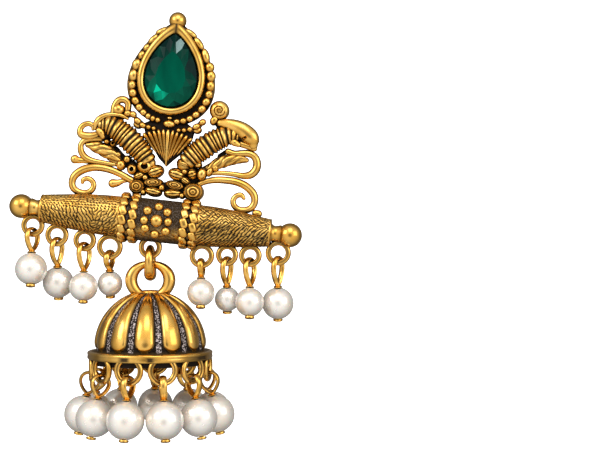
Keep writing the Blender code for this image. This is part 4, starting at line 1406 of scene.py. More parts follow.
@dataclass
class Crossbar(SubAssembly):
    """The turned bar: chased barrels, rope rings, stippled middle, flower and end balls."""

    left: float = BAR_LEFT
    right: float = BAR_RIGHT
    end_radius: float = BAR_END_RADIUS
    shoulder_radius: float = 3.3
    shoulder: float = BAR_SHOULDER
    middle_radius: float = 3.45
    middle_from: float = -6.1
    middle_to: float = 6.4
    rounding: float = 0.35
    rounding_depth: float = 0.3
    seam_at: float = -12.7
    stroke_round: float = 3.0
    stroke_reach: float = 0.75
    stroke_ends: tuple[tuple[float, float], ...] = ((-18.7, -6.3), (6.6, 17.8))
    stipple_ends: tuple[float, float] = (-3.2, 3.7)
    dots: int = 900
    ropes: tuple[float, ...] = (-5.5, -3.85, 4.3, 5.75)
    rope_beads: int = 15
    neck_radius: float = NECK_RADIUS
    neck_length: float = 1.3
    ball_radius: float = 1.95
    step: float = 0.098
    turns: int = 216
    seed: int = 11
    stroke_gap: float = 0.47
    dark_from: float = 0.085
    dark_power: float = 2.2
    rope_size: Triple = (0.62, 0.86, 0.62)
    rope_slant: float = math.radians(22.0)
    rope_boxy: float = 0.62
    flower: Rows = (
        (0.0, 0.0, 1.0), (0.1, 2.15, 0.76), (1.55, 1.45, 0.72), (1.85, 0.0, 0.68), (1.6, -1.45, 0.74),
        (-0.1, -2.05, 0.78), (-1.7, -1.3, 0.74), (-1.95, -0.1, 0.7), (-1.6, 1.4, 0.74),
    )

    def radius_at(self, u: np.ndarray) -> np.ndarray:
        """The bar's plain radius.

        Args:
            u: Places along the bar.

        Returns:
            The radius at each.
        """
        end = np.where(u < 0, -self.left, self.right)
        share = np.clip((end - np.abs(u)) / (end - self.shoulder), 0.0, 1.0)
        barrel = self.end_radius + (self.shoulder_radius - self.end_radius) * np.sin(share * math.pi / 2)
        edge = np.clip((end - np.abs(u)) / self.rounding, 0.0, 1.0)
        barrel -= self.rounding_depth * (1 - np.sqrt(1 - (1 - edge) ** 2))
        return np.where(self.in_middle(u), self.middle_radius, barrel)

    def in_middle(self, u: np.ndarray) -> np.ndarray:
        """Tells which places lie on the stippled middle."""
        return (u > self.middle_from) & (u < self.middle_to)

    @staticmethod
    def stroke(
        draw: np.random.Generator, x: float, s: float, fine: bool, left: bool
    ) -> tuple[float, tuple[float, ...]]:
        """Draws the next stroke of a row: short pits above, longer chisel marks below.

        Args:
            draw: The random draws.
            x: Where the stroke lies along the bar.
            s: Where it lies round the bar.
            fine: Whether it lies on the upper half.
            left: Whether it lies on the left barrel.

        Returns:
            Where the next one lies, and this one's place, lean, half length, half width and depth.
        """
        if left and fine:
            return x + draw.uniform(0.42, 0.66), (x, s, draw.normal(0.6, 0.5), 0.1, 0.115, 0.14)
        if left:
            lean = draw.normal(1.05 if x < -10.0 else -0.75, 0.3)
            return x + draw.uniform(0.5, 0.68), (x, s, lean, draw.uniform(0.2, 0.45), 0.105, 0.14)
        if fine:
            lean = 0.62 if draw.random() < 0.5 else -0.72
            return x + draw.uniform(0.44, 0.6), (x, s, lean, draw.uniform(0.2, 0.36), 0.1, 0.14)
        lean = draw.normal(-0.95 if x > 11.5 else -0.7, 0.16)
        return x + draw.uniform(0.52, 0.66), (x, s, lean, draw.uniform(0.35, 0.7), 0.105, 0.14)

    def strokes(self, u: np.ndarray, turn: np.ndarray) -> tuple[np.ndarray, np.ndarray]:
        """The chased strokes and dots over both barrels, and the stipple of the middle.

        Args:
            u: Places along the bar, rising.
            turn: Angles round it, rising from 0 at the top towards the front.

        Returns:
            How deep and how dark each place of the grid is.
        """
        draw = np.random.default_rng(self.seed)
        depth = np.zeros((len(u), len(turn)))
        around, reach = self.stroke_round, self.stroke_reach
        girth = FULL_TURN * around
        jobs = []
        for low, high in self.stroke_ends:
            for row in range(int(girth / self.stroke_gap)):
                s = row * self.stroke_gap
                facing = s / around
                fine = facing < 1.3 or facing > 5.0
                x = low + draw.uniform(0.0, self.stroke_gap)
                while x < high:
                    x, job = self.stroke(draw, x, s + draw.normal(0.0, 0.05), fine, low < 0)
                    jobs.append(job)
        for _ in range(self.dots):
            jobs.append((draw.uniform(*self.stipple_ends), draw.uniform(0.0, girth), 0.0, 0.02, 0.12, 0.10))
        for x, s, lean, long, wide, deep in jobs:
            first, last = np.searchsorted(u, [x - reach, x + reach])
            if last <= first:
                continue
            across = (turn * around - s + math.pi * around) % girth - math.pi * around
            near = np.nonzero(np.abs(across) < reach)[0]
            du = u[first:last, None] - x
            ds = across[near][None, :]
            run = np.clip(du * math.cos(lean) + ds * math.sin(lean), -long, long)
            gap = (du - run * math.cos(lean)) ** 2 + (ds - run * math.sin(lean)) ** 2
            cut = deep * np.exp(-gap / wide**2)
            window = depth[first:last][:, near]
            depth[first:last, near] = np.maximum(window, cut)
        dark = np.clip(depth / self.dark_from, 0.0, 1.0) ** self.dark_power
        return depth, dark

    def barrel(self) -> Shape:
        """The bar without its balls.

        Returns:
            The shape.
        """
        count = round((self.right - self.left) / self.step)
        u = np.linspace(self.left, self.right, count)
        turn = turns_round(self.turns)
        depth, dark = self.strokes(u, turn)
        plain = self.radius_at(u)[:, None]
        seam = 0.1 * np.exp(-(((u - self.seam_at) / 0.1) ** 2))[:, None]
        radius = plain - depth - seam
        middle = self.in_middle(u)[:, None]
        dark = np.maximum(dark, np.clip(seam / 0.14, 0.0, 1.0))
        worn = 0.5 * np.exp(-(((turn - 2.2) / 0.28) ** 2)) * (1.0 + 0.4 * np.sin(u * 2.3))[:, None]
        dark = np.where(middle, np.maximum(dark, 0.97 - worn), dark)
        speck = np.where(middle, 0.12, 0.0) * np.ones_like(dark)
        along = np.broadcast_to(u[:, None], radius.shape)
        rings = np.stack([along, -radius * np.sin(turn), radius * np.cos(turn)], axis=2)
        made = Shape()
        made.loft(rings, stain=dark, speck=speck, place=Matrix.Translation((0.0, BAR_Y, 0.0)))
        return made

    def ends(self) -> Shape:
        """The necks and the end balls.

        Returns:
            The shape.
        """
        made = Shape()
        for end, side in ((self.right, 1), (-self.left, -1)):
            neck = self.neck_radius
            ball = end + self.neck_length + 0.9 * self.ball_radius
            rows = [(0.05, end - 0.4), (neck + 0.25, end - 0.4), (neck + 0.2, end + 0.05)]
            rows += [(neck, end + 0.25), (neck * 0.92, end + 0.65), (neck, end + 1.05)]
            rows += [(neck + 0.12, ball - self.ball_radius + 0.4), (0.05, ball)]
            shade = np.array([0.5, 0.4, 0.3, 0.12, 0.0, 0.05, 0.5, 0.5])
            lay = Matrix.Translation((0.0, BAR_Y, 0.0)) @ Matrix.Rotation(side * math.pi / 2, 4, "Y")
            made.turned(np.array(rows), 48, shade, lay)
            made.ball((side * ball, BAR_Y, 0.0), self.ball_radius, steps=56)
            spot = Matrix.Translation((side * (end - 0.22), BAR_Y, 0.0))
            collar = spot @ Matrix.Rotation(math.pi / 2, 4, "Z")
            made.ring(self.end_radius - 0.28, (0.36,) * 3, 56, 12, place=collar)
        return made

    def build(self, jeweller: Jeweller) -> Iterator[Piece]:
        """Makes the bar's pieces.

        Args:
            jeweller: Who repeats shapes.

        Returns:
            The pieces.
        """
        yield Piece("crossbar_barrel", self.barrel(), crease=60.0)
        yield Piece("crossbar_ends", self.ends())
        chunk = Shape()
        chunk.ball((0.0, 0.0, 0.0), 1.0, steps=24, boxy=self.rope_boxy)
        bead = Shape()
        bead.ball((0.0, 0.0, 0.0), 1.0, steps=20)
        places = []
        for number, rope in enumerate(self.ropes):
            for i in range(self.rope_beads):
                turn = FULL_TURN * (i + 0.35 * number) / self.rope_beads
                spin = Matrix.Rotation(turn, 4, "X")
                slant = Matrix.Rotation(self.rope_slant, 4, "Z")
                middle = spin @ Vector((0.0, 0.0, self.middle_radius - 0.02))
                places.append((middle + Vector((rope, BAR_Y, 0.0)), spin @ slant, self.rope_size))
        yield Piece("rope_rings", jeweller.repeater.run("rope_rings", chunk, places, 0.05, 3))
        places = []
        for u, v, radius in self.flower:
            angle = math.asin(v / self.middle_radius)
            middle = Vector((u, BAR_Y - self.middle_radius * math.cos(angle), v))
            places.append((middle, Matrix.Rotation(angle, 4, "X"), (radius, 0.75 * radius + 0.1, radius)))
        yield Piece("flower_beads", jeweller.repeater.run("flower_beads", bead, places))


@dataclass
class PearStone(SubAssembly):
    """The green stone: a table, stars, kites and girdle facets."""

    width: float = STONE_WIDTH
    bottom: float = STONE_BOTTOM
    top: float = STONE_TOP
    gap: float = 0.12
    girdle: float = -2.75
    mid: float = -3.3
    table: float = -3.68
    back: float = -1.45
    facets: int = 14
    middle: tuple[float, float] = (POST_U, 23.1)
    # Painted reflection: how bright each kind of facet shows
    tones: dict[str, float] = field(
        default_factory=lambda: {"table": 0.55, "star": 0.3, "kite": 0.2, "half": 0.12}
    )
    # Painted glints and darker reflections on the stone: u, v, how wide, how bright
    glints: tuple[tuple[float, float, float, float], ...] = (
        (-2.3, 20.9, 1.25, 0.95), (-1.0, 19.3, 0.9, 0.6), (2.0, 19.9, 1.1, 0.28), (-2.6, 24.4, 0.9, -0.16),
        (2.6, 24.4, 1.3, -0.2), (0.9, 19.0, 0.5, -0.1),
    )
    # Painted reflection: the facet within this reach of this u and v turns greyish
    grey_place: Triple = (0.35, 28.1, 0.75)
    unevenness: float = 0.07
    seed: int = 5

    def tone(self, base: float, u: float, v: float) -> float:
        """A facet's tone with the glints near it.

        Args:
            base: The tone of its kind.
            u: Its middle's u.
            v: Its middle's v.

        Returns:
            The tone.
        """
        near = [
            amount * math.exp(-(((u - x) ** 2 + (v - z) ** 2) / wide**2))
            for x, z, wide, amount in self.glints
        ]
        return base + sum(near)

    def ring(self, share: float, y: float) -> np.ndarray:
        """The outline shrunk towards its middle.

        Args:
            share: How large it is.
            y: Its Y.

        Returns:
            Its points.
        """
        low, high = self.bottom + self.gap, self.top - self.gap
        line = pear_line(self.width - 2 * self.gap, low, high, 2 * self.facets)
        flat = np.array(self.middle) + (line - np.array(self.middle)) * share
        return np.column_stack([flat[:, 0], np.full(len(flat), y), flat[:, 1]])

    def build(self, jeweller: Jeweller) -> Iterator[Piece]:
        """Makes the stone.

        Args:
            jeweller: Who repeats shapes; not used here.

        Returns:
            The pieces.
        """
        draw = np.random.default_rng(self.seed)
        work = bmesh.new()
        corners = 2 * self.facets
        rows = {
            "back": self.ring(0.8, self.back),
            "under": self.ring(1.0, self.girdle + 0.9),
            "edge": self.ring(1.0, self.girdle),
            "mid": self.ring(0.82, self.mid),
            "table": self.ring(0.58, self.table),
        }
        made = {name: [work.verts.new(point) for point in points] for name, points in rows.items()}
        tone_layer = work.faces.layers.float.new("tone")
        grey_reflection_layer = work.faces.layers.float.new("grey")

        def facet(kind: str, *points: bmesh.types.BMVert) -> None:
            """Adds a facet with its tone.

            Args:
                kind: Which of the stone's tones it has.
                *points: Its corners.
            """
            face = work.faces.new(points)
            middle = face.calc_center_median()
            base = self.tones[kind] + draw.uniform(-self.unevenness, self.unevenness)
            face[tone_layer] = self.tone(base, middle.x, middle.z)
            u, v, wide = self.grey_place
            face[grey_reflection_layer] = 1.0 if math.hypot(middle.x - u, middle.z - v) < wide else 0.0

        for i in range(self.facets):
            here, after, last = 2 * i, (2 * i + 2) % corners, (2 * i - 1) % corners
            mid, edge, table = made["mid"], made["edge"], made["table"]
            facet("star", table[here], table[after], mid[here + 1])
            facet("kite", table[here], mid[here + 1], edge[here], mid[last])
            facet("half", mid[here + 1], edge[here + 1], edge[here])
            facet("half", mid[here + 1], edge[after], edge[here + 1])
        for lower, upper in (("back", "under"), ("under", "edge")):
            for i in range(corners):
                j = (i + 1) % corners
                facet("half", made[lower][i], made[lower][j], made[upper][j], made[upper][i])
        work.faces.new(list(reversed(made["back"])))
        facet("table", *made["table"][::2])
        loose = [v for v in work.verts if not v.link_faces]
        bmesh.ops.delete(work, geom=loose, context="VERTS")
        bmesh.ops.recalc_face_normals(work, faces=work.faces)
        mesh = bpy.data.meshes.new("pear_stone_cut")
        work.to_mesh(mesh)
        work.free()
        yield Piece("pear_stone_cut", mesh, Body.HEAD, HEAD, "stone", Slot.STONE, ("pear_stone",), 1.0)


@dataclass
class EarPost(SubAssembly):
    """The plain post behind the crest."""

    gap: float = 0.25
    radius: float = 0.45
    length: float = 10.5
    foot_radius: float = 1.5
    foot_height: float = 0.4

    def build(self, jeweller: Jeweller) -> Iterator[Piece]:
        """Makes the post.

        Args:
            jeweller: Who repeats shapes; not used here.

        Returns:
            The pieces.
        """
        tip = self.gap + self.length
        radius, foot, low = self.radius, self.foot_radius, self.gap
        rows = [(0.02, low), (foot - 0.08, low), (foot, low + 0.08), (foot - 0.05, low + 0.3)]
        rows += [(radius + 0.35, low + self.foot_height), (radius + 0.08, low + 0.55), (radius, low + 0.8)]
        rows += [(radius, tip - 1.6), (radius - 0.09, tip - 1.4), (radius - 0.09, tip - 1.15)]
        rows += [(radius, tip - 0.95), (radius, tip - 0.4), (radius * 0.8, tip - 0.15)]
        rows += [(radius * 0.45, tip - 0.03), (0.02, tip)]
        made = Shape()
        made.turned(np.array(rows), 32, place=Matrix.Rotation(-math.pi / 2, 4, "X"))
        yield Piece("ear_post_turned", made, Body.HEAD, UPRIGHT, "post", Slot.POST, ("ear_post",), 50.0)


@dataclass
class Drop:
    """A pearl on a head pin whose eye hangs in a lug."""

    number: str
    hook: Vector
    pearl: float
    fall: float
    turn: float
    lean: float
    heading: float
    body: Body
    pin: float = PIN_RADIUS
    eye_width: float = 3.5
    cap_gap: float = 0.12
    cap_height: float = 0.3
    cap_radius: float = 0.8
    stem: float = 0.36
    bore: float = 0.52
    strap: float = 0.48
    eye_steps: int = 56
    wire_sides: int = 14
    cap_sides: int = 28
    pearl_rows: int = 34
    pearl_sides: int = 56
    out_of_round: float = 0.008
    bore_dip: float = 0.10

    def stance(self) -> Matrix:
        """Carries the drop, laid out about its eye's top, to its hook.

        Returns:
            The matrix.
        """
        hung = Matrix.Translation(self.hook) @ Matrix.Rotation(self.heading, 4, "Z")
        return hung @ Matrix.Rotation(-self.lean, 4, "X") @ Matrix.Rotation(self.turn, 4, "Z")

    def pin_shape(self) -> Shape:
        """The eye, its stem, and the caps above and below the pearl.

        Returns:
            The shape.
        """
        top = self.pearl - self.fall
        foot = -self.pearl - self.fall - self.cap_gap
        low = top + self.cap_gap + self.cap_height
        made = Shape()
        line = pear_line(self.eye_width - 2 * self.pin, low, 0.0, self.eye_steps, 0.0)
        path = np.column_stack([line[:, 0], low - line[:, 1]])
        way = np.roll(path, -1, axis=0) - np.roll(path, 1, axis=0)
        way /= np.linalg.norm(way, axis=1)[:, None]
        angles = turns_round(self.wire_sides)
        across = self.pin * np.cos(angles)[None, :]
        u, v = path[:, 0:1] - across * way[:, 1:2], path[:, 1:2] + across * way[:, 0:1]
        deep = np.broadcast_to(self.strap * np.sin(angles), u.shape)
        made.loft(np.stack([u, deep, v], axis=2), joined=True)
        stem = [(0.02, low + 0.05), (self.stem, low), (self.stem, foot - 0.1), (0.02, foot - 0.1)]
        made.turned(np.array(stem), self.wire_sides)
        upper = [(0.05, low + 0.12), (0.42, low + 0.1), (0.5, low - 0.02), (0.44, low - 0.12)]
        upper += [(0.62, low - 0.18), (0.74, low - 0.3), (0.72, top + 0.05), (0.5, top + 0.02)]
        upper += [(0.05, top + 0.02)]
        made.turned(np.array(upper), self.cap_sides)
        cap, high = self.cap_radius, self.cap_height
        lower = [(0.05, foot + 0.06), (cap - 0.2, foot + 0.1), (cap - 0.05, foot + 0.14)]
        lower += [(cap, foot + 0.02), (cap * 0.92, foot - high * 0.7)]
        lower += [(cap * 0.55, foot - high), (0.05, foot - high - 0.03)]
        made.turned(np.array(lower), self.cap_sides)
        return made

    def pearl_shape(self, seed: int) -> Shape:
        """The drilled pearl, very slightly out of round.

        Args:
            seed: The random draw's seed.

        Returns:
            The shape.
        """
        draw = np.random.default_rng(seed)
        pole = math.asin(self.bore / self.pearl)
        angles = np.linspace(pole, math.pi - pole, self.pearl_rows)
        swell = 1.0 + self.out_of_round * np.sin(2 * angles + draw.uniform(0.0, 3.0))
        out = self.pearl * swell * np.sin(angles)
        rows = np.column_stack([out, self.pearl * np.cos(angles) - self.fall])
        rows[0] = (self.bore - 0.02, rows[0, 1] - self.bore_dip)
        rows[-1] = (self.bore - 0.02, rows[-1, 1] + self.bore_dip)
        turns = turns_round(self.pearl_sides)
        u = rows[:, :1] * np.cos(turns)
        rings = np.stack([u, rows[:, :1] * np.sin(turns), np.broadcast_to(rows[:, 1:2], u.shape)], axis=2)
        made = Shape()
        made.loft(rings, joined=True)
        return made

    def build(self, prefix: str) -> Iterator[Piece]:
        """Makes the pin and the pearl.

        Args:
            prefix: bar or bell.

        Returns:
            The pieces.
        """
        place = self.stance()
        pin, pearl = f"{prefix}_pin_{self.number}", f"{prefix}_pearl_{self.number}"
        yield Piece(f"fine_{pin}", self.pin_shape(), self.body, place, "polished", stands_for=(pin,))
        bead = self.pearl_shape(sum(map(ord, pearl)))
        yield Piece(f"fine_{pearl}", bead, self.body, place, "pearl", Slot.PEARL, (pearl,), crease=50.0)


def hook_below(lug: float, wire: float, pin: float = PIN_RADIUS, gap: float = 0.28) -> float:
    """How far an eye's top wire lies below its lug's middle.

    Args:
        lug: The lug's radius.
        wire: The lug's wire radius.
        pin: The eye's wire radius.
        gap: The gap above the lug's bottom wire.

    Returns:
        The distance.
    """
    return lug - 2 * wire - pin - gap


@dataclass
class BarDrops(SubAssembly):
    """The eight drops under the crossbar, and their lugs."""

    wire: float = 0.4
    lug: float = 2.0
    pearl: float = 2.3
    fall: float = 6.5
    sides: tuple[float, float] = (BAR_LEFT, BAR_RIGHT)
    foot_growth: float = 1.1
    # Place as a share of that side's barrel, lug, pearl and fall as shares, eye's turn and lean in degrees
    rows: tuple[tuple[float, ...], ...] = (
        (-1.047, 0.95, 1.11, 1.09, 66, 12), (-0.837, 0.95, 1.09, 1.2, 66, -12),
        (-0.6, 0.925, 1.0, 1.155, 64, 9), (-0.384, 1.05, 0.87, 0.93, 75, -11),
        (0.414, 1.0, 0.96, 0.92, 85, 14), (0.635, 0.9, 0.87, 1.115, 66, -11),
        (0.84, 0.925, 1.0, 1.16, 64, 12), (1.083, 1.025, 1.11, 1.26, 64, -8),
    )

    def bar_radius(self, u: float) -> float:
        """The bar's radius where a lug hangs.

        Args:
            u: The place along the bar.

        Returns:
            The radius.
        """
        end = abs(self.sides[u >= 0])
        if abs(u) > end:
            return NECK_RADIUS
        return BAR_END_RADIUS + self.foot_growth * min((end - abs(u)) / (end - BAR_SHOULDER), 1.0)

    def build(self, jeweller: Jeweller) -> Iterator[Piece]:
        """Makes the lugs and the drops.

        Args:
            jeweller: Who repeats shapes; not used here.

        Returns:
            The pieces.
        """
        lugs = Shape()
        for number, (place, lug_share, pearl_share, fall_share, turn, lean) in enumerate(self.rows, 1):
            u = abs(place) * self.sides[place > 0]
            lug, pearl, fall = lug_share * self.lug, pearl_share * self.pearl, fall_share * self.fall
            middle = Vector((u, BAR_Y, -self.bar_radius(u) - lug + self.wire))
            spot = Matrix.Translation(middle)
            lugs.ring(lug - 2 * self.wire - 0.1, (2 * self.wire + 0.1,) * 3, groove=0.1, place=spot)
            foot = (u, BAR_Y, middle.z + lug - 0.1)
            lugs.ball(foot, 0.62, (1.25, 1.0, 0.8), stain=0.35)
            below = hook_below(lug, self.wire)
            hook = HEAD @ (middle - Vector((0.0, 0.0, below)))
            angles = math.radians(turn), math.radians(lean)
            yield from Drop(str(number), hook, pearl, fall - below, *angles, 0.0, Body.HEAD).build("bar")
        yield Piece("bar_lugs", lugs)


@dataclass
class Hanger(SubAssembly):
    """The central lug, the link in it and the bell's bail."""

    lug_hole: float = 1.0
    lug_bottom: float = -29.61
    lug_wire: float = 0.9
    link_wires: Triple = (1.15, 1.4, 1.95)
    link_hole: float = 1.35
    bail_hole: float = 2.05
    bail_wires: Triple = (1.06, 2.0, 1.3)
    seat: float = 0.25

    @property
    def link_z(self) -> float:
        """The height of the link's hole."""
        return self.lug_bottom + self.lug_wire + self.seat - self.link_hole

    @property
    def bail_z(self) -> float:
        """The height of the bail's hole."""
        return self.link_z - self.link_hole + self.seat - self.bail_hole

    def build(self, jeweller: Jeweller) -> Iterator[Piece]:
        """Makes the three rings.

        Args:
            jeweller: Who repeats shapes; not used here.

        Returns:
            The pieces.
        """
        lug = Shape()
        spot = Matrix.Translation((HANG_X, BAR_Y, self.lug_bottom + self.lug_wire + self.lug_hole))
        lug.ring(self.lug_hole, (self.lug_wire,) * 3, sides=24, groove=0.1, place=spot)
        yield Piece("central_lug", lug, place=UPRIGHT)
        link = Shape()
        spot = Matrix.Translation((HANG_X, BAR_Y, self.link_z)) @ Matrix.Rotation(math.pi / 2, 4, "Z")
        link.ring(self.link_hole, self.link_wires, 80, 28, place=spot)
        yield Piece("fine_link", link, Body.LINK, UPRIGHT, "polished", stands_for=("hanging_link",))
        bail = Shape()
        spot = Matrix.Translation((HANG_X, BAR_Y, self.bail_z))
        bail.ring(self.bail_hole, self.bail_wires, 96, 32, place=spot)
        yield Piece("bell_bail", bail, Body.BELL, UPRIGHT, "polished")


@dataclass
class Bell(SubAssembly):
    """The fluted bell: petals, dark grooves, rim, skirt, lugs and drops."""

    radius: float = 8.45
    height: float = 8.7
    wall: float = 0.9
    foot: float = 1.0
    bail_above: float = 2.14
    petals: int = 12
    petal_turn: float = math.radians(-0.5)
    petal_half: float = math.radians(10.0)
    petal_rise: float = 0.55
    rim_radius: float = 10.0
    rim_height: float = 1.15
    skirt_radius: float = 9.35
    skirt_height: float = 0.75
    around: int = 384
    up: int = 96
    drops: int = 11
    first_drop: float = math.radians(17.5)
    lug_ring: float = 9.3
    lug: float = 2.4
    lug_sink: float = 2.0
    lug_wire: float = 0.46
    pearl: float = 2.95
    fall: float = 7.65
    drop_turn: float = math.radians(82.0)
    splay: float = math.radians(12.0)
    strap: float = 0.55
    collar_hole: float = 0.6
    collar_wire: float = 0.85
    collar_rise: float = 0.12
    stipple: float = 0.035
    seed: int = 9
    hanger: Hanger = field(default_factory=Hanger)

    @property
    def level(self) -> float:
        """The height of the bell's rim line."""
        return self.hanger.bail_z - self.bail_above - self.height - self.foot

    def dome(self) -> Shape:
        """The wall from its crown over the petals, rim and skirt, and back up inside, with painted shade
        below the petals, on the skirt under the rim and inside the bell.

        Returns:
            The shape.
        """
        draw = np.random.default_rng(self.seed)
        climb = np.linspace(0.012, math.pi / 2, self.up)
        turn = turns_round(self.around)
        out, high = self.radius * np.sin(climb)[:, None], self.height * np.cos(climb)[:, None]
        pitch = FULL_TURN / self.petals
        phase = (turn - self.petal_turn + math.pi / self.petals) % pitch - math.pi / self.petals
        half = self.petal_half * np.maximum(out, 0.3)
        lengths = np.hypot(np.diff(out[:, 0]), np.diff(high[:, 0]))
        from_foot = np.concatenate([[0.0], np.cumsum(lengths)])
        from_foot = (from_foot[-1] - from_foot)[:, None] + 0.12
        tail = np.clip((half - from_foot) / half, 0.0, 1.0)
        spread = (phase[None, :] * np.maximum(out, 0.3) / half) ** 2 + tail**2
        fade = np.clip(out / (0.3 * self.radius), 0.0, 1.0)
        bulge = np.sqrt(np.clip(1.0 - spread, 0.0, 1.0))
        inside = spread < 1.0
        stipple = draw.normal(0.0, self.stipple, spread.shape) * ~inside
        rise = self.petal_rise * fade * bulge**0.85 + stipple
        slope = np.stack([np.sin(climb) / self.radius, np.cos(climb) / self.height], axis=1)
        slope /= np.linalg.norm(slope, axis=1)[:, None]
        out_now = out + rise * slope[:, 0:1]
        high_now = self.foot + high + rise * slope[:, 1:2]
        shade = np.where(inside, np.clip((spread - 0.86) / 0.14, 0.0, 1.0) * 0.95, 1.0)
        shade = shade * np.clip(fade * 2, 0, 1)
        middle = np.abs(phase[None, :]) > self.petal_half + math.radians(2.6)
        speck = np.where(~inside & middle, 1.0, 0.0) * fade
        foot = self.foot
        rim_z = foot - 0.5
        low = rim_z - self.rim_height
        skirt = low - 0.1 - self.skirt_height
        inner = self.radius - self.wall
        rim, edge = self.rim_radius, self.skirt_radius
        # Each row: radius, height and how dark it is; the darkness is painted shade below the petals, on
        # the skirt under the rim and inside the bell
        rows = [(self.radius + 0.05, foot - 0.38, 0.95), (rim - 0.75, rim_z + 0.06, 0.85)]
        rows += [(rim - 0.3, rim_z + 0.1, 0.0), (rim - 0.05, rim_z - 0.05, 0.0)]
        rows += [(rim, rim_z - 0.25, 0.0), (rim - 0.06, rim_z - 0.45, 0.15)]
        rows += [(rim - 0.05, low + 0.5, 0.15), (rim, low + 0.25, 0.12)]
        rows += [(rim - 0.12, low + 0.02, 0.2), (edge + 0.1, low - 0.05, 1.0)]
        rows += [(edge, low - 0.15, 1.0), (edge, skirt + 0.05, 1.0)]
        rows += [(edge - 0.08, skirt, 0.5), (inner + 0.2, skirt, 0.5)]
        rows += [(inner, skirt + 0.1, 0.5)]
        rows += [
            (inner * math.sin(a), foot + (self.height - self.wall) * math.cos(a), 0.55)
            for a in np.linspace(math.pi / 2, 0.03, 28)
        ]
        rest = np.array(rows)
        wander = 1.0 + 0.004 * np.sin(3 * turn + 1.0) + 0.003 * np.sin(7 * turn + 0.4)
        outer = (rest[:, 0] > edge + 0.3)[:, None]
        lower_out = rest[:, 0:1] * np.where(outer, wander[None, :], 1.0)
        lower_high = np.broadcast_to(rest[:, 1:2], lower_out.shape)
        streaks = np.clip(np.sin(turn * 9 + 2 * np.sin(turn * 4)) - 0.35, 0.0, 1.0) * 1.5
        band = ((rest[:, 2] > 0.1) & (rest[:, 2] < 0.18))[:, None]
        lower_dark = np.where(band, np.clip(rest[:, 2:3] + streaks[None, :], 0.0, 0.95), rest[:, 2:3])
        whole_out = np.concatenate([out_now, lower_out])
        whole_high = np.concatenate([high_now, lower_high])
        rings = np.stack([whole_out * np.sin(turn), -whole_out * np.cos(turn), whole_high], axis=2)
        dark = np.concatenate([shade, lower_dark])
        specks = np.concatenate([speck, np.zeros_like(lower_dark)])
        made = Shape()
        made.loft(rings, stain=dark, speck=specks)
        return made

    def build(self, jeweller: Jeweller) -> Iterator[Piece]:
        """Makes the bell, its lugs and its drops.

        Args:
            jeweller: Who repeats shapes.

        Returns:
            The pieces.
        """
        axis = Vector((HANG_X, BAR_Y, self.level))
        place = Matrix.Translation(axis)
        yield Piece("bell_dome", self.dome(), Body.BELL, place, stands_for=("bell",), crease=50.0)
        collar = Shape()
        crown = Matrix.Translation((0, 0, self.foot + self.height + self.collar_rise))
        lying = crown @ Matrix.Rotation(math.pi / 2, 4, "X")
        collar.ring(self.collar_hole, (self.collar_wire,) * 3, 40, 16, place=lying)
        yield Piece("bell_collar", collar, Body.BELL, place)
        eye = Shape()
        eye.ring(self.lug - 2 * self.lug_wire, (2 * self.lug_wire,) * 3, 56, 24, 0.42)
        lug_z = self.foot - 0.6 - self.rim_height - self.skirt_height - self.lug + self.lug_sink
        below = hook_below(self.lug, self.lug_wire)
        places = []
        for number in range(1, self.drops + 1):
            turn = self.first_drop + FULL_TURN * (number - 1) / self.drops
            middle = Vector((self.lug_ring * math.sin(turn), -self.lug_ring * math.cos(turn), lug_z))
            places.append((middle, Matrix.Rotation(turn, 4, "Z"), (1.0, 1.0, 1.0)))
            hook = axis + middle - Vector((0.0, 0.0, below))
            sizes = self.pearl, self.fall - below, self.drop_turn, self.splay, turn
            yield from Drop(f"{number:02d}", hook, *sizes, Body.BELL, strap=self.strap).build("bell")
        yield Piece("bell_lugs", jeweller.repeater.run("bell_lugs", eye, places), Body.BELL, place)


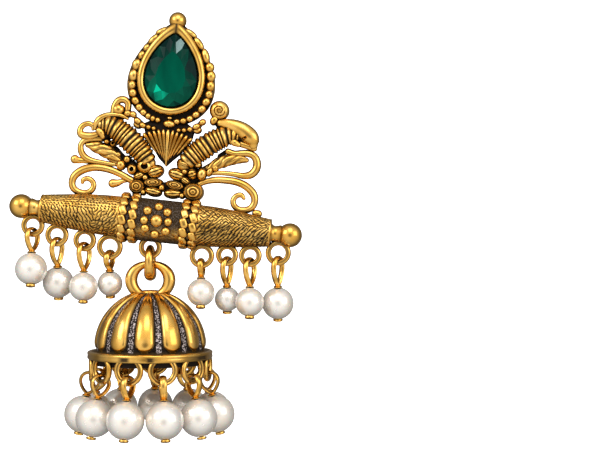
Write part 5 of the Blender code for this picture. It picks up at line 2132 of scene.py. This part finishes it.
@dataclass
class Studio:
    """Camera, white sweep, soft lights and the light tent round them."""

    lens: float = 90.0
    eye: Triple = (20.5, -241.8, -25.2)
    floor_z: float = -78.0
    floor_reach: float = 0.6
    floor_bend: float = 0.12
    wall_top: float = 0.7
    half_width: float = 0.9
    aim: Triple = (-2.0, 0.0, -25.0)
    # Each light: name, place in millimetres, width in metres, power
    lights: tuple[tuple[str, Triple, float, float], ...] = (
        ("left_key", (-240.0, -200.0, 150.0), 0.17, 0.35),
        ("right_fill", (260.0, -180.0, 60.0), 0.2, 0.22),
        ("front_high", (30.0, -175.0, 180.0), 0.15, 0.17),
    )
    white: float = 1.0
    tent: float = 1.42
    behind: float = 0.22
    below: float = 0.7
    opening: float = 0.25

    def build_camera(self) -> None:
        """Sets the camera level before the earring, which stands left of the picture's middle."""
        data = bpy.data.cameras.new("camera")
        data.lens = self.lens
        data.clip_start, data.clip_end = 0.01, 10.0
        camera = bpy.data.objects.new("camera", data)
        camera.location = Vector(self.eye) * MM
        camera.rotation_euler = (math.pi / 2, 0.0, 0.0)
        bpy.context.scene.collection.objects.link(camera)
        bpy.context.scene.camera = camera

    def build_sweep(self) -> None:
        """Makes the floor that curves up into a backdrop."""
        flat, bend = self.floor_reach, self.floor_bend
        profile = [(-flat, 0.0), (flat, 0.0)]
        curve = np.linspace(0.1, math.pi / 2, 14)
        profile += [(flat + bend * math.sin(a), bend - bend * math.cos(a)) for a in curve]
        profile += [(flat + bend, self.wall_top)]
        sides = (-self.half_width, self.half_width)
        points = [(x, y, z + self.floor_z * MM) for x in sides for y, z in profile]
        count = len(profile)
        faces = [(i, i + count, i + count + 1, i + 1) for i in range(count - 1)]
        mesh = bpy.data.meshes.new("sweep")
        mesh.from_pydata(points, [], faces)
        mesh.shade_smooth()
        made, bench, shader = shader_bench("white_sweep")
        bench.feed(shader, Base_Color=(0.9, 0.9, 0.9, 1.0), Roughness=0.9)
        bench.feed(shader, Emission_Color=(1.0, 1.0, 1.0, 1.0), Emission_Strength=self.white)
        mesh.materials.append(made)
        sweep = bpy.data.objects.new("sweep", mesh)
        bpy.context.scene.collection.objects.link(sweep)
        sweep.visible_glossy = False
        sweep.visible_diffuse = False
        sweep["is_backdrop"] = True

    def build_tent(self) -> None:
        """Lights the world as a white tent with a darker opening where the camera stands."""
        world = bpy.data.worlds.new("tent")
        world.use_nodes = True
        bpy.context.scene.world = world
        bench = NodeBench(world.node_tree)
        way = bench.add("ShaderNodeTexCoord").outputs["Generated"]
        parts = bench.add("ShaderNodeSeparateXYZ", {}, i0=way).outputs
        toward = bench.math("MULTIPLY", parts["Y"], -1.0)
        level = bench.span(toward, -0.35, 0.7, self.behind, self.tent)
        height = bench.span(parts["Z"], -0.8, 0.5, self.below, 1.0)
        door = bench.span(toward, 0.92, 0.99, 1.0, self.opening)
        level = bench.math("MULTIPLY", level, door)
        background = world.node_tree.nodes["Background"]
        bench.feed(background, Strength=bench.math("MULTIPLY", level, height), Color=(1.0, 0.99, 0.97, 1.0))

    def build_light(self, name: str, place: Triple, size: float, power: float) -> None:
        """Adds a soft light that faces the earring.

        Args:
            name: Its name.
            place: Where it stands, in millimetres.
            size: Its width, in metres.
            power: Its power.
        """
        data = bpy.data.lights.new(name, "AREA")
        data.size = size
        data.energy = power
        lamp = bpy.data.objects.new(name, data)
        lamp.location = Vector(place) * MM
        target = Vector(self.aim) * MM
        lamp.rotation_euler = (target - lamp.location).to_track_quat("-Z", "Y").to_euler()
        bpy.context.scene.collection.objects.link(lamp)

    def build(self) -> None:
        """Sets the studio up."""
        scene = bpy.context.scene
        scene.view_settings.view_transform = "Standard"
        self.build_camera()
        self.build_sweep()
        self.build_tent()
        for light in self.lights:
            self.build_light(*light)


def main() -> None:
    """Builds the studio and the earring."""
    logging.basicConfig(level=logging.INFO, format="%(name)s: %(message)s")
    Studio().build()
    jeweller = Jeweller()
    crest = [BezelAndBorder(), ShellFan(), Creatures(), Bosses()]
    for part in [*crest, Crossbar(), PearStone(), EarPost(), BarDrops(), Hanger(), Bell()]:
        part.dress(jeweller)
    jeweller.age()
    boxes = {"cad": CAD_BOX, "visual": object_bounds()}
    {name: [list(corner) for corner in box] for name, box in boxes.items()}


if __name__ == "__main__":
    main()
